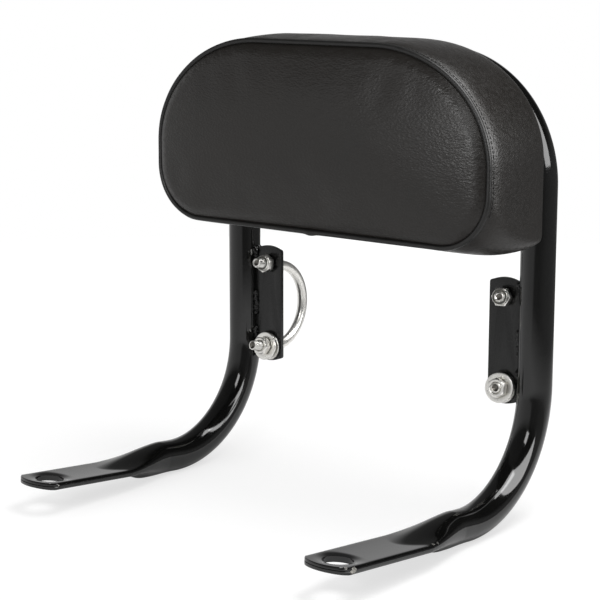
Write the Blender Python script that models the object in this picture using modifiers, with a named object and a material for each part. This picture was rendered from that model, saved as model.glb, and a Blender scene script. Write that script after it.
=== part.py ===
# Padded backrest for a scooter or motorcycle.
# One steel tube is bent into an arch and two legs, and each leg runs forward into a flattened,
# punched foot. Two clamp plates with U-bolts sit between the legs, and a padded cushion is bolted
# to four tabs inside the arch.
# Metres, +Z up, the pad faces -Y, and the object's left and right are as seen from the front.

import bpy
import bmesh
from math import acos, cos, pi, radians, sin, sqrt, tan
from mathutils import Matrix, Vector

# Frame tube
TUBE_DIAMETER = 0.0254
TUBE_WALL = 0.0026
LEG_SPACING = 0.2778            # between the legs' centrelines
ARCH_CORNER_RADIUS = 0.0840
ARCH_HEIGHT = 0.2291            # centreline of the arch above the start of the leg bends
BEND_RADIUS = 0.0827
BEND_DRAW_IN = {"left": 0.0008, "right": 0.0016}    # the inner side of a bend is drawn in
FOOT_RISE = radians(5.5)        # the feet point slightly up towards their tips
ROUND_LENGTH = 0.0130           # round part of the foot after the bend
PRESS_LENGTH = 0.0500           # length over which the press takes the tube flat
PRESS_LAG = 0.0220              # the underside starts to rise this much later than the top falls
FLAT_LENGTH = {"left": 0.0846, "right": 0.0956}     # fully flattened part of the foot
UNDERSIDE_SAG = 0.0014          # pressing pushes the underside down before it rises
PRESS_SPREAD = 1.03             # pressing flat stretches the wall a little
FLAT_TOP = 0.0010               # the flat part's top lies below the tube's centreline
FLAT_DISH = 0.0004              # and is slightly hollow
TIP_BULGE = 0.0060              # the tip is cut to a shallow arc
TIP_CORNER = 0.0045             # and its corners are rounded off
FOOT_HOLE_DIAMETER = 0.0210
FOOT_HOLE_SETBACK = 0.0180      # hole centre from the tip
HOLE_DIMPLE_DEPTH = 0.0014      # punching draws the top wall down round the hole
HOLE_DIMPLE_RADIUS = 0.0170

# Clamp plates
PLATE_THICKNESS = 0.0030
PLATE_WIDTH = 0.0272            # from the side of the tube
PLATE_END_BULGE = 0.0024        # the ends are sheared to a shallow arc
PLATE_HEIGHT = 0.0299           # middle of the plate above the start of the leg bends
PLATE_HOLE_PITCH = 0.0676
PLATE_HOLE_DROP = 0.0018        # middle of the holes below the middle of the plate
PLATE_END_MARGIN = 0.0132       # the plate's length past half the pitch, at each end
PLATE_CORNER = 0.0022
PLATE_WELDS = ((0.0415, 0.009), (0.0, 0.020), (-0.0250, 0.010))   # height from the middle, length
WELD_RADIUS = 0.0026
WELD_SINK = 0.0007              # the beads' middle lines lie inside the sheet

# U-bolts, their nuts and washers
ROD_DIAMETER = 0.0080
U_BOLT_OFFSET = 0.0142          # bolt centre from the side of the tube
U_BOLT_BEND_BACK = {"left": 0.0080, "right": 0.0120}    # start of the bow behind the plate
U_BOLT_TILT = {"left": radians(11), "right": radians(11)}   # the loose bows hang down
U_BOLT_TURN = {"left": 0.0, "right": radians(10)}       # the right one is also turned outwards
STUD_PROJECTION = {"left": (0.0068, 0.0084), "right": (0.0010, 0.0004)}   # upper, lower
ROD_END_CHAMFER = 0.0009
ROD_HOLE_CLEARANCE = 0.0009
NUT_ACROSS_FLATS = 0.0130
NUT_HEIGHT = 0.0065
LOCK_NUT_HEX_HEIGHT = 0.0056    # the upper nuts are lock nuts with a plastic ring
LOCK_NUT_COLLAR_HEIGHT = 0.0022
LOCK_NUT_COLLAR_STEP = 0.0004   # the collar is turned to less than the flats
LOCK_NUT_COLLAR_WALL = 0.0006
LOCK_RING_SINK = 0.0006         # the ring lies below the collar's rim
NUT_TURNS = {"left": (0, radians(30)), "right": (radians(30), 0)}         # upper, lower
LARGE_WASHER_DIAMETER = 0.0224
LARGE_WASHER_THICKNESS = 0.0016

# Pad, sizes over the piping
PAD_OVERHANG = 0.0024           # the pad stands out past the tube on each side
PAD_RISE = 0.0061               # and above the arch
PAD_HEIGHT = 0.1422
PAD_SIDE_STRAIGHT = 0.0232      # straight part of each side, between its two corners
PAD_DEPTH = 0.0715              # from the back lining to the seam
PAD_CROWN = 0.0140              # the front panel's swell in front of the seam
TOP_CORNER_RUN = 0.1000         # the top corners are quarters of an ellipse
BOTTOM_CORNER_RADIUS = 0.0360   # at the seam
BACK_CORNER_RADIUS = 0.0120     # the bottom corners are squarer at the back
BOTTOM_SAG = 0.0030             # the band's bottom hangs below the seam and the back
LEAST_CORNER_RADIUS = 0.0020
PIPING_RADIUS = 0.0024
COVER_THICKNESS = 0.0012
BAND_INSET = 0.0015             # the side band sits inside the piping's outer edge
BAND_SWELL = 0.0011
BACK_EDGE_RADIUS = 0.0050
HEM_WIDTH = 0.0105
LINING_THICKNESS = 0.0008
LINING_INSET = 0.0110
BOARD_THICKNESS = 0.0090

# Tabs, bolts and tee nuts that hold the pad
TAB_THICKNESS = 0.0030
TAB_WIDTH = 0.0200
TAB_REACH = 0.0300              # tube centreline to bolt
TAB_ROOT = 0.0050               # tube centreline to the tab's root edge
UPPER_TAB_INSET = 0.0120        # bolt in from where the arch's corner starts
LOWER_TAB_RISE = 0.0220         # bolt above the bottom of the pad
TAB_WELD_LENGTH = 0.0150
BOLT_DIAMETER = 0.0060
BOLT_LENGTH = 0.0200
BOLT_ACROSS_FLATS = 0.0100
BOLT_HEAD_HEIGHT = 0.0040
BOLT_HOLE_CLEARANCE = 0.0006
SPRING_WASHER_DIAMETER = 0.0116
SPRING_WASHER_THICKNESS = 0.0016
SPRING_WASHER_SPLIT = radians(16)
PLAIN_WASHER_DIAMETER = 0.0125
PLAIN_WASHER_THICKNESS = 0.0016
TEE_NUT_FLANGE_DIAMETER = 0.0190
TEE_NUT_FLANGE_THICKNESS = 0.0012
TEE_NUT_BARREL_WALL = 0.0010
TEE_NUT_BARREL_LENGTH = 0.0080

GAP = 0.0003                    # between pieces that touch on the real object
TUBE_SIDES = 24
ROUND_STEPS = 16
ARCH_STEPS = 8                  # rings round each corner of the arch
BEND_STEPS = 10
PRESS_STEPS = 9

# Sizes that follow from the ones above
TUBE_RADIUS = TUBE_DIAMETER / 2
LEG_X = LEG_SPACING / 2
FLAT_THICKNESS = 2 * TUBE_WALL
FLAT_WIDTH = PRESS_SPREAD * (pi / 2 * (TUBE_DIAMETER - TUBE_WALL) + TUBE_WALL)
FLAT_MIDDLE = -FLAT_TOP - TUBE_WALL
BEND_ANGLE = pi / 2 + FOOT_RISE
BOLT_X = LEG_X - TUBE_RADIUS - U_BOLT_OFFSET
PLATE_FRONT = -PLATE_THICKNESS / 2
LOCK_NUT_HEIGHT = LOCK_NUT_HEX_HEIGHT + LOCK_NUT_COLLAR_HEIGHT
LOCK_NUT_COLLAR_RADIUS = NUT_ACROSS_FLATS / 2 - LOCK_NUT_COLLAR_STEP
LOCK_RING_ROOM = LOCK_NUT_COLLAR_RADIUS - LOCK_NUT_COLLAR_WALL
PAD_HALF_WIDTH = LEG_X + TUBE_RADIUS + PAD_OVERHANG
PAD_TOP = ARCH_HEIGHT + TUBE_RADIUS + PAD_RISE
PAD_BOTTOM = PAD_TOP - PAD_HEIGHT
TOP_CORNER_DROP = PAD_HEIGHT - PAD_SIDE_STRAIGHT - BOTTOM_CORNER_RADIUS
LINING_BACK = -TUBE_RADIUS - GAP
HEM_BACK = LINING_BACK - LINING_THICKNESS - GAP
BOARD_BACK = HEM_BACK - COVER_THICKNESS - GAP
BOARD_FRONT = BOARD_BACK - BOARD_THICKNESS
SEAM_Y = LINING_BACK - PAD_DEPTH
BAND_FRONT = SEAM_Y + PIPING_RADIUS + GAP
BAND_BACK = HEM_BACK - BACK_EDGE_RADIUS
BOXING_SHARES = (1.0, 0.8, 0.5, 0.2)    # rings of the side wall, from the seam back
BOARD_INSET = BAND_INSET + BACK_EDGE_RADIUS
TAB_FRONT = -TUBE_RADIUS
TAB_BACK = TAB_FRONT + TAB_THICKNESS
TEE_NUT_BARREL_RADIUS = BOLT_DIAMETER / 2 + GAP + TEE_NUT_BARREL_WALL

SIDES = {"left": -1, "right": 1}

# Finish of each kind of piece: colour, metallic, roughness
FINISHES = {
    "gloss_black_paint": ((0.012, 0.012, 0.012, 1), 0.0, 0.12),
    "zinc_plate": ((0.62, 0.63, 0.64, 1), 1.0, 0.28),
    "leatherette": ((0.028, 0.026, 0.024, 1), 0.0, 0.50),
    "leatherette_piping": ((0.020, 0.019, 0.018, 1), 0.0, 0.42),
    "foam": ((0.75, 0.70, 0.52, 1), 0.0, 0.90),
    "plywood": ((0.48, 0.32, 0.18, 1), 0.0, 0.75),
    "lining_cloth": ((0.020, 0.020, 0.020, 1), 0.0, 0.90),
    "nylon": ((0.300, 0.290, 0.260, 1), 0.0, 0.45),
}


# Scene set-up

def clear_scene():
    for old in list(bpy.data.objects):
        bpy.data.objects.remove(old, do_unlink=True)


def new_collection(name):
    collection = bpy.data.collections.new(name)
    bpy.context.scene.collection.children.link(collection)
    return collection


def make_material(name, finish):
    colour, metallic, roughness = FINISHES[finish]
    material = bpy.data.materials.new(name)
    material.use_nodes = True
    shader = material.node_tree.nodes["Principled BSDF"]
    shader.inputs["Base Color"].default_value = colour
    shader.inputs["Metallic"].default_value = metallic
    shader.inputs["Roughness"].default_value = roughness
    return material


def add_part(name, data, finish, location=(0, 0, 0), rotation=(0, 0, 0)):
    part = bpy.data.objects.new(name, data)
    PARTS.objects.link(part)
    part.location = location
    part.rotation_euler = rotation
    part.parent = DATUM
    if not data.materials:
        data.materials.append(None)
    part.material_slots[0].link = "OBJECT"
    part.material_slots[0].material = make_material(name, finish)
    return part


def add_cutter(name, data, location=(0, 0, 0), rotation=(0, 0, 0)):
    cutter = bpy.data.objects.new(name, data)
    CUTTERS.objects.link(cutter)
    cutter.location = location
    cutter.rotation_euler = rotation
    cutter.parent = DATUM
    cutter.hide_render = True
    cutter.display_type = "WIRE"
    return cutter


def add_boolean(part, tool, operation):
    modifier = part.modifiers.new(operation.title(), "BOOLEAN")
    modifier.operation = operation
    modifier.solver = "EXACT"
    modifier.object = tool


# Mesh helpers

def mesh_from_bmesh(name, bm, smooth_angle=35):
    mesh = bpy.data.meshes.new(name)
    bm.to_mesh(mesh)
    bm.free()
    mesh.shade_smooth()
    mesh.set_sharp_from_angle(angle=radians(smooth_angle))
    return mesh


def loft(name, rows, cap_first=False, cap_last=False, towards_front=False):
    """Skin a mesh over closed rings that all have the same number of points."""
    bm = bmesh.new()
    if towards_front:
        rows = [row[::-1] for row in rows]
    rings = [[bm.verts.new(point) for point in row] for row in rows]
    count = len(rings[0])
    for ring, following in zip(rings, rings[1:]):
        for j in range(count):
            k = (j + 1) % count
            bm.faces.new((ring[j], ring[k], following[k], following[j]))
    if cap_first:
        bm.faces.new(rings[0][::-1])
    if cap_last:
        bm.faces.new(rings[-1])
    return mesh_from_bmesh(name, bm)


def turned(name, profile, closed=False):
    """Turn a profile of (radius, height) points about Z with a Screw modifier."""
    mesh = bpy.data.meshes.new(name)
    edges = [(i, i + 1) for i in range(len(profile) - 1)]
    if closed:
        edges.append((len(profile) - 1, 0))
    mesh.from_pydata([(radius, 0, height) for radius, height in profile], edges, [])
    blank = bpy.data.objects.new(name, mesh)
    bpy.context.scene.collection.objects.link(blank)
    screw = blank.modifiers.new("Turn", "SCREW")
    screw.axis = "Z"
    screw.steps = ROUND_STEPS
    screw.render_steps = ROUND_STEPS
    screw.use_merge_vertices = True
    screw.merge_threshold = 0.00001
    return bake(blank)


def bake(blank, smooth_angle=35):
    """Turn an object with its modifiers into a plain mesh, and remove the object."""
    depsgraph = bpy.context.evaluated_depsgraph_get()
    mesh = bpy.data.meshes.new_from_object(blank.evaluated_get(depsgraph))
    mesh.name = blank.name
    bpy.data.objects.remove(blank, do_unlink=True)
    bm = bmesh.new()
    bm.from_mesh(mesh)
    bmesh.ops.remove_doubles(bm, verts=bm.verts, dist=0.000001)
    bm.to_mesh(mesh)
    bm.free()
    mesh.shade_smooth()
    mesh.set_sharp_from_angle(angle=radians(smooth_angle))
    return mesh


def cylinder(name, radius, low, high, sides=ROUND_STEPS):
    bm = bmesh.new()
    bmesh.ops.create_cone(bm, cap_ends=True, segments=sides, radius1=radius, radius2=radius,
                          depth=high - low)
    bmesh.ops.translate(bm, verts=bm.verts, vec=(0, 0, (high + low) / 2))
    return mesh_from_bmesh(name, bm)


def plate_curve(name, outline, thickness, holes=()):
    """A flat sheet in the local XY plane: a filled 2D outline with round holes."""
    curve = bpy.data.curves.new(name, "CURVE")
    curve.dimensions = "2D"
    curve.fill_mode = "BOTH"
    curve.extrude = thickness / 2
    loops = [outline]
    loops += [circle_points(x, y, radius) for x, y, radius in holes]
    for loop in loops:
        spline = curve.splines.new("POLY")
        spline.points.add(len(loop) - 1)
        for point, (x, y) in zip(spline.points, loop):
            point.co = (x, y, 0, 1)
        spline.use_cyclic_u = True
    return curve


def circle_points(x, y, radius, sides=ROUND_STEPS):
    return [(x + radius * cos(2 * pi * i / sides), y + radius * sin(2 * pi * i / sides))
            for i in range(sides)]


# The frame: a bent tube whose ends are pressed flat

def ease(value):
    value = min(max(value, 0.0), 1.0)
    return value * value * (3 - 2 * value)


def ramp(value):
    """A nearly straight slope with eased ends."""
    value = min(max(value, 0.0), 1.0)
    return (value + ease(value)) / 2


def round_section(radius):
    """Points of a round section, as (outward, front) from the centreline."""
    return [(radius * cos(2 * pi * j / TUBE_SIDES), radius * sin(2 * pi * j / TUBE_SIDES))
            for j in range(TUBE_SIDES)]


def flat_section():
    """Points of the flattened section: two walls pressed together with round edges."""
    edge_steps = 2
    quarter = TUBE_SIDES // 4
    half_thickness = FLAT_THICKNESS / 2
    flat_half = FLAT_WIDTH / 2 - half_thickness
    corner = []
    for j in range(quarter + 1):
        if j <= edge_steps:
            angle = pi / 2 * j / edge_steps
            corner.append((flat_half + half_thickness * cos(angle), half_thickness * sin(angle)))
        else:
            share = 1 - (j - edge_steps) / (quarter - edge_steps)
            dish = FLAT_DISH * (1 - share ** 2)
            corner.append((flat_half * share, half_thickness - dish))
    top = corner + [(-x, y) for x, y in corner[-2::-1]]
    return top + [(x, -half_thickness * min(1, abs(y) / half_thickness + FLAT_DISH / half_thickness))
                  for x, y in [(-x, y) for x, y in top[1:-1]]]


def foot_length(side):
    return ROUND_LENGTH + PRESS_LENGTH + FLAT_LENGTH[side]


def foot_point(distance, height=0.0, x=LEG_X):
    """A point by its distance from the end of the bend and its height over the centreline."""
    bend_end = Vector((x, BEND_RADIUS * (cos(BEND_ANGLE) - 1), -BEND_RADIUS * sin(BEND_ANGLE)))
    return bend_end + distance * FOOT_FORWARD + height * FOOT_UP


def arch_stations():
    """Centre, outward axis, front axis and share of the bend for each ring of the arch and leg."""
    corner_x = LEG_X - ARCH_CORNER_RADIUS
    corner_z = ARCH_HEIGHT - ARCH_CORNER_RADIUS
    front = Vector((0, -1, 0))
    side = Vector((1, 0, 0))
    stations = [(Vector((x, 0, ARCH_HEIGHT)), Vector((0, 0, 1)), front, 0)
                for x in (0, corner_x / 2)]
    for i in range(ARCH_STEPS + 1):
        angle = pi / 2 * i / ARCH_STEPS
        outward = Vector((sin(angle), 0, cos(angle)))
        centre = Vector((corner_x, 0, corner_z)) + ARCH_CORNER_RADIUS * outward
        stations.append((centre, outward, front, 0))
    stations += [(Vector((LEG_X, 0, corner_z * share)), side, front, 0) for share in (0.66, 0.33)]
    for i in range(BEND_STEPS):
        angle = BEND_ANGLE * i / BEND_STEPS
        centre = Vector((LEG_X, BEND_RADIUS * (cos(angle) - 1), -BEND_RADIUS * sin(angle)))
        stations.append((centre, side, Vector((0, -cos(angle), sin(angle))), i / BEND_STEPS))
    return stations


def foot_distances(side):
    """Ring distances along a foot: close together in the pressed part and round the hole."""
    pressed = [ROUND_LENGTH + PRESS_LENGTH * i / PRESS_STEPS for i in range(PRESS_STEPS + 1)]
    hole = foot_length(side) - FOOT_HOLE_SETBACK
    dimple = [hole + HOLE_DIMPLE_RADIUS * share for share in (-1.0, -0.75, -0.5, 0.0, 0.5)]
    return [0.0] + pressed + dimple


def dimple_depth(side, distance, x):
    """How far the top wall is drawn down near the hole."""
    along = distance - (foot_length(side) - FOOT_HOLE_SETBACK)
    share = 1 - sqrt(along ** 2 + x ** 2) / HOLE_DIMPLE_RADIUS
    return HOLE_DIMPLE_DEPTH * ease(1.6 * share)


def foot_row(side, distance, circle, flat):
    """One ring of the foot; the top falls first, and the underside follows later."""
    fall = ramp((distance - ROUND_LENGTH) / PRESS_LENGTH)
    climb = ease((distance - ROUND_LENGTH - PRESS_LAG) / (PRESS_LENGTH - PRESS_LAG))
    sag = UNDERSIDE_SAG * sin(pi * min(1, distance / (ROUND_LENGTH + PRESS_LENGTH))) ** 2
    row = []
    for (round_x, round_y), (flat_x, flat_y) in zip(circle, flat):
        share = fall if round_y >= 0 else climb + (fall - climb) * (flat_x / FLAT_WIDTH * 2) ** 2
        x = round_x + fall * (flat_x - round_x)
        height = round_y + share * (flat_y + FLAT_MIDDLE - round_y)
        if round_y > 0:
            height -= dimple_depth(side, distance, flat_x)
        else:
            height += sag * round_y / TUBE_RADIUS
        row.append(foot_point(distance, height, LEG_X + x))
    return row


def tip_row(side, flat):
    """The last ring, set back from the tip by the cut's arc and rounded corners."""
    row = []
    for x, y in flat:
        share = abs(x) / (FLAT_WIDTH / 2)
        distance = foot_length(side) - TIP_BULGE * share ** 2 - TIP_CORNER * share ** 10
        height = y + FLAT_MIDDLE
        if y > 0:
            height -= dimple_depth(side, distance, x)
        row.append(foot_point(distance, height, LEG_X + x))
    return row


def bend_rows(circle, draw_in=0.0):
    """Rings of the arch's right half and the leg, as far as the end of the bend."""
    rows = []
    for centre, outward, front, share in arch_stations():
        squash = 1 - draw_in * ease(3 * share) / TUBE_RADIUS
        rows.append([centre + x * outward + (y * squash if y > 0 else y) * front
                     for x, y in circle])
    return rows


def side_rows(side):
    """All rings from the top of the arch to one tip."""
    circle = round_section(TUBE_RADIUS)
    flat = flat_section()
    rows = bend_rows(circle, BEND_DRAW_IN[side])
    drawn = 1 - BEND_DRAW_IN[side] / TUBE_RADIUS
    oval = [(x, y * drawn if y > 0 else y) for x, y in circle]
    rows += [foot_row(side, distance, oval, flat) for distance in foot_distances(side)]
    rows.append(tip_row(side, flat))
    if side == "left":
        rows = [[Vector((-x, y, z)) for x, y, z in row] for row in rows]
    return rows


def close_tip(bm, ring, turn_over):
    """Close a cut tip edge to edge, from the top wall to the bottom wall."""
    count = len(ring)
    half = count // 2
    loops = [(0, 1, count - 1), (half - 1, half, half + 1)]
    loops += [(j, j + 1, count - j - 1, count - j) for j in range(1, half - 1)]
    for loop in loops:
        corners = [ring[j] for j in loop]
        bm.faces.new(corners[::-1] if turn_over else corners)


def build_frame_tube():
    rows = side_rows("left")[::-1] + side_rows("right")[1:]
    bm = bmesh.new()
    rings = [[bm.verts.new(point) for point in row] for row in rows]
    for ring, following in zip(rings, rings[1:]):
        for j in range(TUBE_SIDES):
            k = (j + 1) % TUBE_SIDES
            bm.faces.new((ring[j], ring[k], following[k], following[j]))
    close_tip(bm, rings[0], True)
    close_tip(bm, rings[-1], False)
    tube = add_part("frame_tube", mesh_from_bmesh("frame_tube", bm), "gloss_black_paint")
    for side, sign in SIDES.items():
        hole = foot_point(foot_length(side) - FOOT_HOLE_SETBACK, FLAT_MIDDLE)
        mesh = cylinder("foot_hole", FOOT_HOLE_DIAMETER / 2, -TUBE_DIAMETER, TUBE_DIAMETER, 32)
        cutter = add_cutter(side + "_foot_hole", mesh, (sign * hole.x, hole.y, hole.z),
                            (-FOOT_RISE, 0, 0))
        add_boolean(tube, cutter, "DIFFERENCE")


def tube_clearance():
    """The round tube with a small clearance all round, for cutting what is welded to it."""
    rows = bend_rows(round_section(TUBE_RADIUS + GAP / cos(pi / TUBE_SIDES)))
    cutter = add_cutter("tube_clearance", loft("tube_clearance", rows, cap_last=True))
    mirror = cutter.modifiers.new("Other half", "MIRROR")
    mirror.use_axis = (True, False, False)
    mirror.merge_threshold = 0.00001
    return cutter


def weld_bead(name, centre, axis, length, radius=WELD_RADIUS):
    """A short bead of weld: a long rounded lump."""
    bm = bmesh.new()
    bmesh.ops.create_uvsphere(bm, u_segments=8, v_segments=4, radius=1)
    bmesh.ops.scale(bm, verts=bm.verts, vec=(radius, radius, length / 2))
    if axis == "X":
        bmesh.ops.rotate(bm, verts=bm.verts, matrix=Matrix.Rotation(pi / 2, 3, "Y"))
    return add_cutter(name, mesh_from_bmesh(name, bm), centre)


# Clamp plates and U-bolts

def arched_end(half_width, height, bulge, corner, steps=6):
    """The upper end of a sheared plate from right to left: an arc between rounded corners."""
    points = []
    for i in range(4):
        angle = pi / 2 * i / 3
        points.append((half_width - corner * (1 - cos(angle)),
                       height - bulge - corner * (1 - sin(angle))))
    for i in range(1, steps):
        x = (half_width - corner) * (1 - 2 * i / steps)
        share = x / (half_width - corner)
        points.append((x, height - bulge * share ** 2))
    return points + [(-x, y) for x, y in points[3::-1]]


def build_clamp_plate(side, sign, clearance):
    """A strip that reaches inside the tube's outline and is cut to it, with its welds."""
    reach = PLATE_WIDTH + TUBE_RADIUS / 2
    half_length = PLATE_HOLE_PITCH / 2 + PLATE_END_MARGIN
    top = arched_end(reach / 2, half_length, PLATE_END_BULGE, PLATE_CORNER)
    outline = top + [(-x, -y) for x, y in top]
    middle_x = LEG_X - TUBE_RADIUS / 2 - reach / 2
    hole_radius = ROD_DIAMETER / 2 + ROD_HOLE_CLEARANCE
    hole_x = sign * (BOLT_X - middle_x)
    holes = [(hole_x, end * PLATE_HOLE_PITCH / 2 - PLATE_HOLE_DROP, hole_radius) for end in (1, -1)]
    name = side + "_clamp_plate"
    flat = bpy.data.objects.new(name, plate_curve(name, outline, PLATE_THICKNESS, holes))
    bpy.context.scene.collection.objects.link(flat)
    plate = add_part(name, bake(flat), "gloss_black_paint",
                     (sign * middle_x, 0, PLATE_HEIGHT), (pi / 2, 0, 0))
    for number, (height, length) in enumerate(PLATE_WELDS):
        for face, y in (("front", PLATE_FRONT + WELD_SINK), ("rear", -PLATE_FRONT - WELD_SINK)):
            centre = (sign * (LEG_X - TUBE_RADIUS), y, PLATE_HEIGHT + height)
            bead = weld_bead(f"{side}_{face}_weld_{number}", centre, "Z", length)
            add_boolean(plate, bead, "UNION")
    add_boolean(plate, clearance, "DIFFERENCE")


def u_bolt_mount(side, sign):
    """An empty in the middle of the plate's holes, tilted and turned as the loose U-bolt hangs."""
    mount = bpy.data.objects.new(side + "_u_bolt_mount", None)
    bpy.context.scene.collection.objects.link(mount)
    mount.parent = DATUM
    mount.location = (sign * BOLT_X, 0, PLATE_HEIGHT - PLATE_HOLE_DROP)
    mount.rotation_euler = (-U_BOLT_TILT[side], 0, U_BOLT_TURN[side])
    return mount


def lean(side):
    """The angle between a U-bolt's legs and the line square to the plate."""
    return acos(cos(U_BOLT_TILT[side]) * cos(U_BOLT_TURN[side]))


def leg_spacing(side):
    """The legs of a tilted U-bolt stand closer than the plate's holes."""
    return PLATE_HOLE_PITCH * cos(U_BOLT_TILT[side])


def leg_place(side, end, distance):
    """A place on a leg in the mount's frame, by its distance in front of the plate's middle."""
    crossing = -end * leg_spacing(side) / 2 * tan(U_BOLT_TILT[side])
    return Vector((0, crossing - distance, end * leg_spacing(side) / 2))


def nut_seat(side, end):
    """Distance from the plate's middle to the nut, which lies on what it leans against."""
    flat_stack = PLATE_THICKNESS / 2 + GAP
    if end > 0:
        return flat_stack / cos(lean(side)) + NUT_ACROSS_FLATS / 2 * tan(lean(side))
    return front_washer_seat(side) + LARGE_WASHER_THICKNESS + GAP


def front_washer_seat(side):
    """The front washer leans on the rear one, which lies flat on the plate."""
    flat_stack = PLATE_THICKNESS / 2 + LARGE_WASHER_THICKNESS + 2 * GAP
    return flat_stack / cos(lean(side)) + LARGE_WASHER_DIAMETER / 2 * tan(lean(side))


def nut_height(end):
    return LOCK_NUT_HEIGHT if end > 0 else NUT_HEIGHT


def build_u_bolt(side, mount):
    """A bent rod whose bow lies behind the plate and whose ends stick out in front."""
    back = U_BOLT_BEND_BACK[side]
    radius = leg_spacing(side) / 2
    steps = 16
    path = []
    for end, projection in zip((1, -1), STUD_PROJECTION[side]):
        tip = leg_place(side, end, nut_seat(side, end) + nut_height(end) + projection)
        leg = [(tip.y, tip.z, 0.8), (tip.y + ROD_END_CHAMFER, tip.z, 1.0)]
        if end > 0:
            path += leg
            for i in range(steps + 1):
                angle = pi / 2 - pi * i / steps
                path.append((back + radius * cos(angle), radius * sin(angle), 1.0))
        else:
            path += leg[::-1]
    curve = bpy.data.curves.new(side + "_u_bolt", "CURVE")
    curve.dimensions = "3D"
    curve.bevel_depth = ROD_DIAMETER / 2
    curve.bevel_resolution = 4
    curve.use_fill_caps = True
    spline = curve.splines.new("POLY")
    spline.points.add(len(path) - 1)
    for point, (y, z, size) in zip(spline.points, path):
        point.co = (0, y, z, 1)
        point.radius = size
    add_part(side + "_u_bolt", curve, "zinc_plate").parent = mount


def hex_blank(name, across_flats, height):
    """A hexagon whose corners are turned off at 30 degrees on both faces."""
    bm = bmesh.new()
    corner = across_flats / sqrt(3)
    bmesh.ops.create_cone(bm, cap_ends=True, segments=6, radius1=corner, radius2=corner,
                          depth=height)
    bmesh.ops.translate(bm, verts=bm.verts, vec=(0, 0, height / 2))
    blank = bpy.data.objects.new(name, mesh_from_bmesh(name, bm))
    bpy.context.scene.collection.objects.link(blank)
    chamfer = (corner - across_flats / 2 * 0.97) / sqrt(3)
    wide = corner * 1.02
    face = across_flats / 2 * 0.97 - 0.02 * corner
    profile = [(0, height + GAP), (face - GAP * sqrt(3), height + GAP), (wide, height - chamfer),
               (wide, chamfer), (face - GAP * sqrt(3), -GAP), (0, -GAP)]
    tool = bpy.data.objects.new("chamfer", turned("chamfer", profile))
    bpy.context.scene.collection.objects.link(tool)
    add_boolean(blank, tool, "INTERSECT")
    mesh = bake(blank, 20)
    bpy.data.objects.remove(tool, do_unlink=True)
    return mesh


def bored(mesh, radius, height):
    """Drill a round hole through a blank that stands on the XY plane."""
    blank = bpy.data.objects.new(mesh.name, mesh)
    drill = bpy.data.objects.new("drill", cylinder("drill", radius, -height, 2 * height))
    for item in (blank, drill):
        bpy.context.scene.collection.objects.link(item)
    add_boolean(blank, drill, "DIFFERENCE")
    result = bake(blank, 20)
    bpy.data.objects.remove(drill, do_unlink=True)
    return result


def washer_mesh(name, outer, bore, thickness):
    edge = thickness * 0.18
    return turned(name, [(bore, thickness), (outer - edge, thickness), (outer, thickness - edge),
                         (outer, edge), (outer - edge, 0), (bore, 0)], closed=True)


def lock_nut_mesh(bore):
    """A nut whose collar is rolled over a plastic ring."""
    blank = bpy.data.objects.new("m8_lock_nut", hex_blank("m8_lock_nut", NUT_ACROSS_FLATS,
                                                          LOCK_NUT_HEX_HEIGHT))
    collar = LOCK_NUT_COLLAR_RADIUS
    roll = 1.5 * LOCK_NUT_COLLAR_WALL
    profile = [(0, LOCK_NUT_HEIGHT), (collar - roll, LOCK_NUT_HEIGHT),
               (collar - roll / 4, LOCK_NUT_HEIGHT - roll / 3), (collar, LOCK_NUT_HEIGHT - roll),
               (collar, LOCK_NUT_HEX_HEIGHT / 2), (0, LOCK_NUT_HEX_HEIGHT / 2)]
    rim = bpy.data.objects.new("collar", turned("collar", profile))
    room = cylinder("ring_room", LOCK_RING_ROOM, LOCK_NUT_HEX_HEIGHT - GAP, LOCK_NUT_HEIGHT + GAP)
    pocket = bpy.data.objects.new("ring_room", room)
    for item in (blank, rim, pocket):
        bpy.context.scene.collection.objects.link(item)
    add_boolean(blank, rim, "UNION")
    add_boolean(blank, pocket, "DIFFERENCE")
    mesh = bake(blank, 20)
    for tool in (rim, pocket):
        bpy.data.objects.remove(tool, do_unlink=True)
    return bored(mesh, bore, LOCK_NUT_HEIGHT)


def lock_ring_mesh(bore):
    """The plastic ring in the collar, at its height above the lock nut's underside."""
    outer = LOCK_RING_ROOM - GAP
    return turned("lock_ring", [(bore, LOCK_NUT_HEIGHT - LOCK_RING_SINK),
                                (outer, LOCK_NUT_HEIGHT - LOCK_RING_SINK),
                                (outer, LOCK_NUT_HEX_HEIGHT), (bore, LOCK_NUT_HEX_HEIGHT)],
                  closed=True)


def build_u_bolt_fasteners(side, sign, mount, meshes):
    """Lock nut and ring on the upper leg; two washers and a plain nut on the lower one."""
    forward = pi / 2
    upper_turn, lower_turn = NUT_TURNS[side]
    upper = leg_place(side, 1, nut_seat(side, 1))
    lower = leg_place(side, -1, nut_seat(side, -1))
    front_washer = leg_place(side, -1, front_washer_seat(side))
    fitted = [(side + "_upper_nut", "lock nut", "zinc_plate", upper, upper_turn),
              (side + "_upper_lock_ring", "lock ring", "nylon", upper, 0),
              (side + "_lower_nut", "nut", "zinc_plate", lower, lower_turn),
              (side + "_front_large_washer", "washer", "zinc_plate", front_washer, 0)]
    for name, kind, finish, place, turn in fitted:
        add_part(name, meshes[kind], finish, place, (forward, turn, 0)).parent = mount
    # the rear washer lies flat on the plate, in line with the leg that passes through it
    rear_y = PLATE_FRONT - GAP
    middle = rear_y - LARGE_WASHER_THICKNESS / 2
    x = sign * BOLT_X - middle * tan(U_BOLT_TURN[side])
    rise = -middle * tan(U_BOLT_TILT[side]) / cos(U_BOLT_TURN[side])
    z = PLATE_HEIGHT - PLATE_HOLE_DROP - PLATE_HOLE_PITCH / 2 + rise
    add_part(side + "_rear_large_washer", meshes["washer"], "zinc_plate", (x, rear_y, z),
             (forward, 0, 0))


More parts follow.
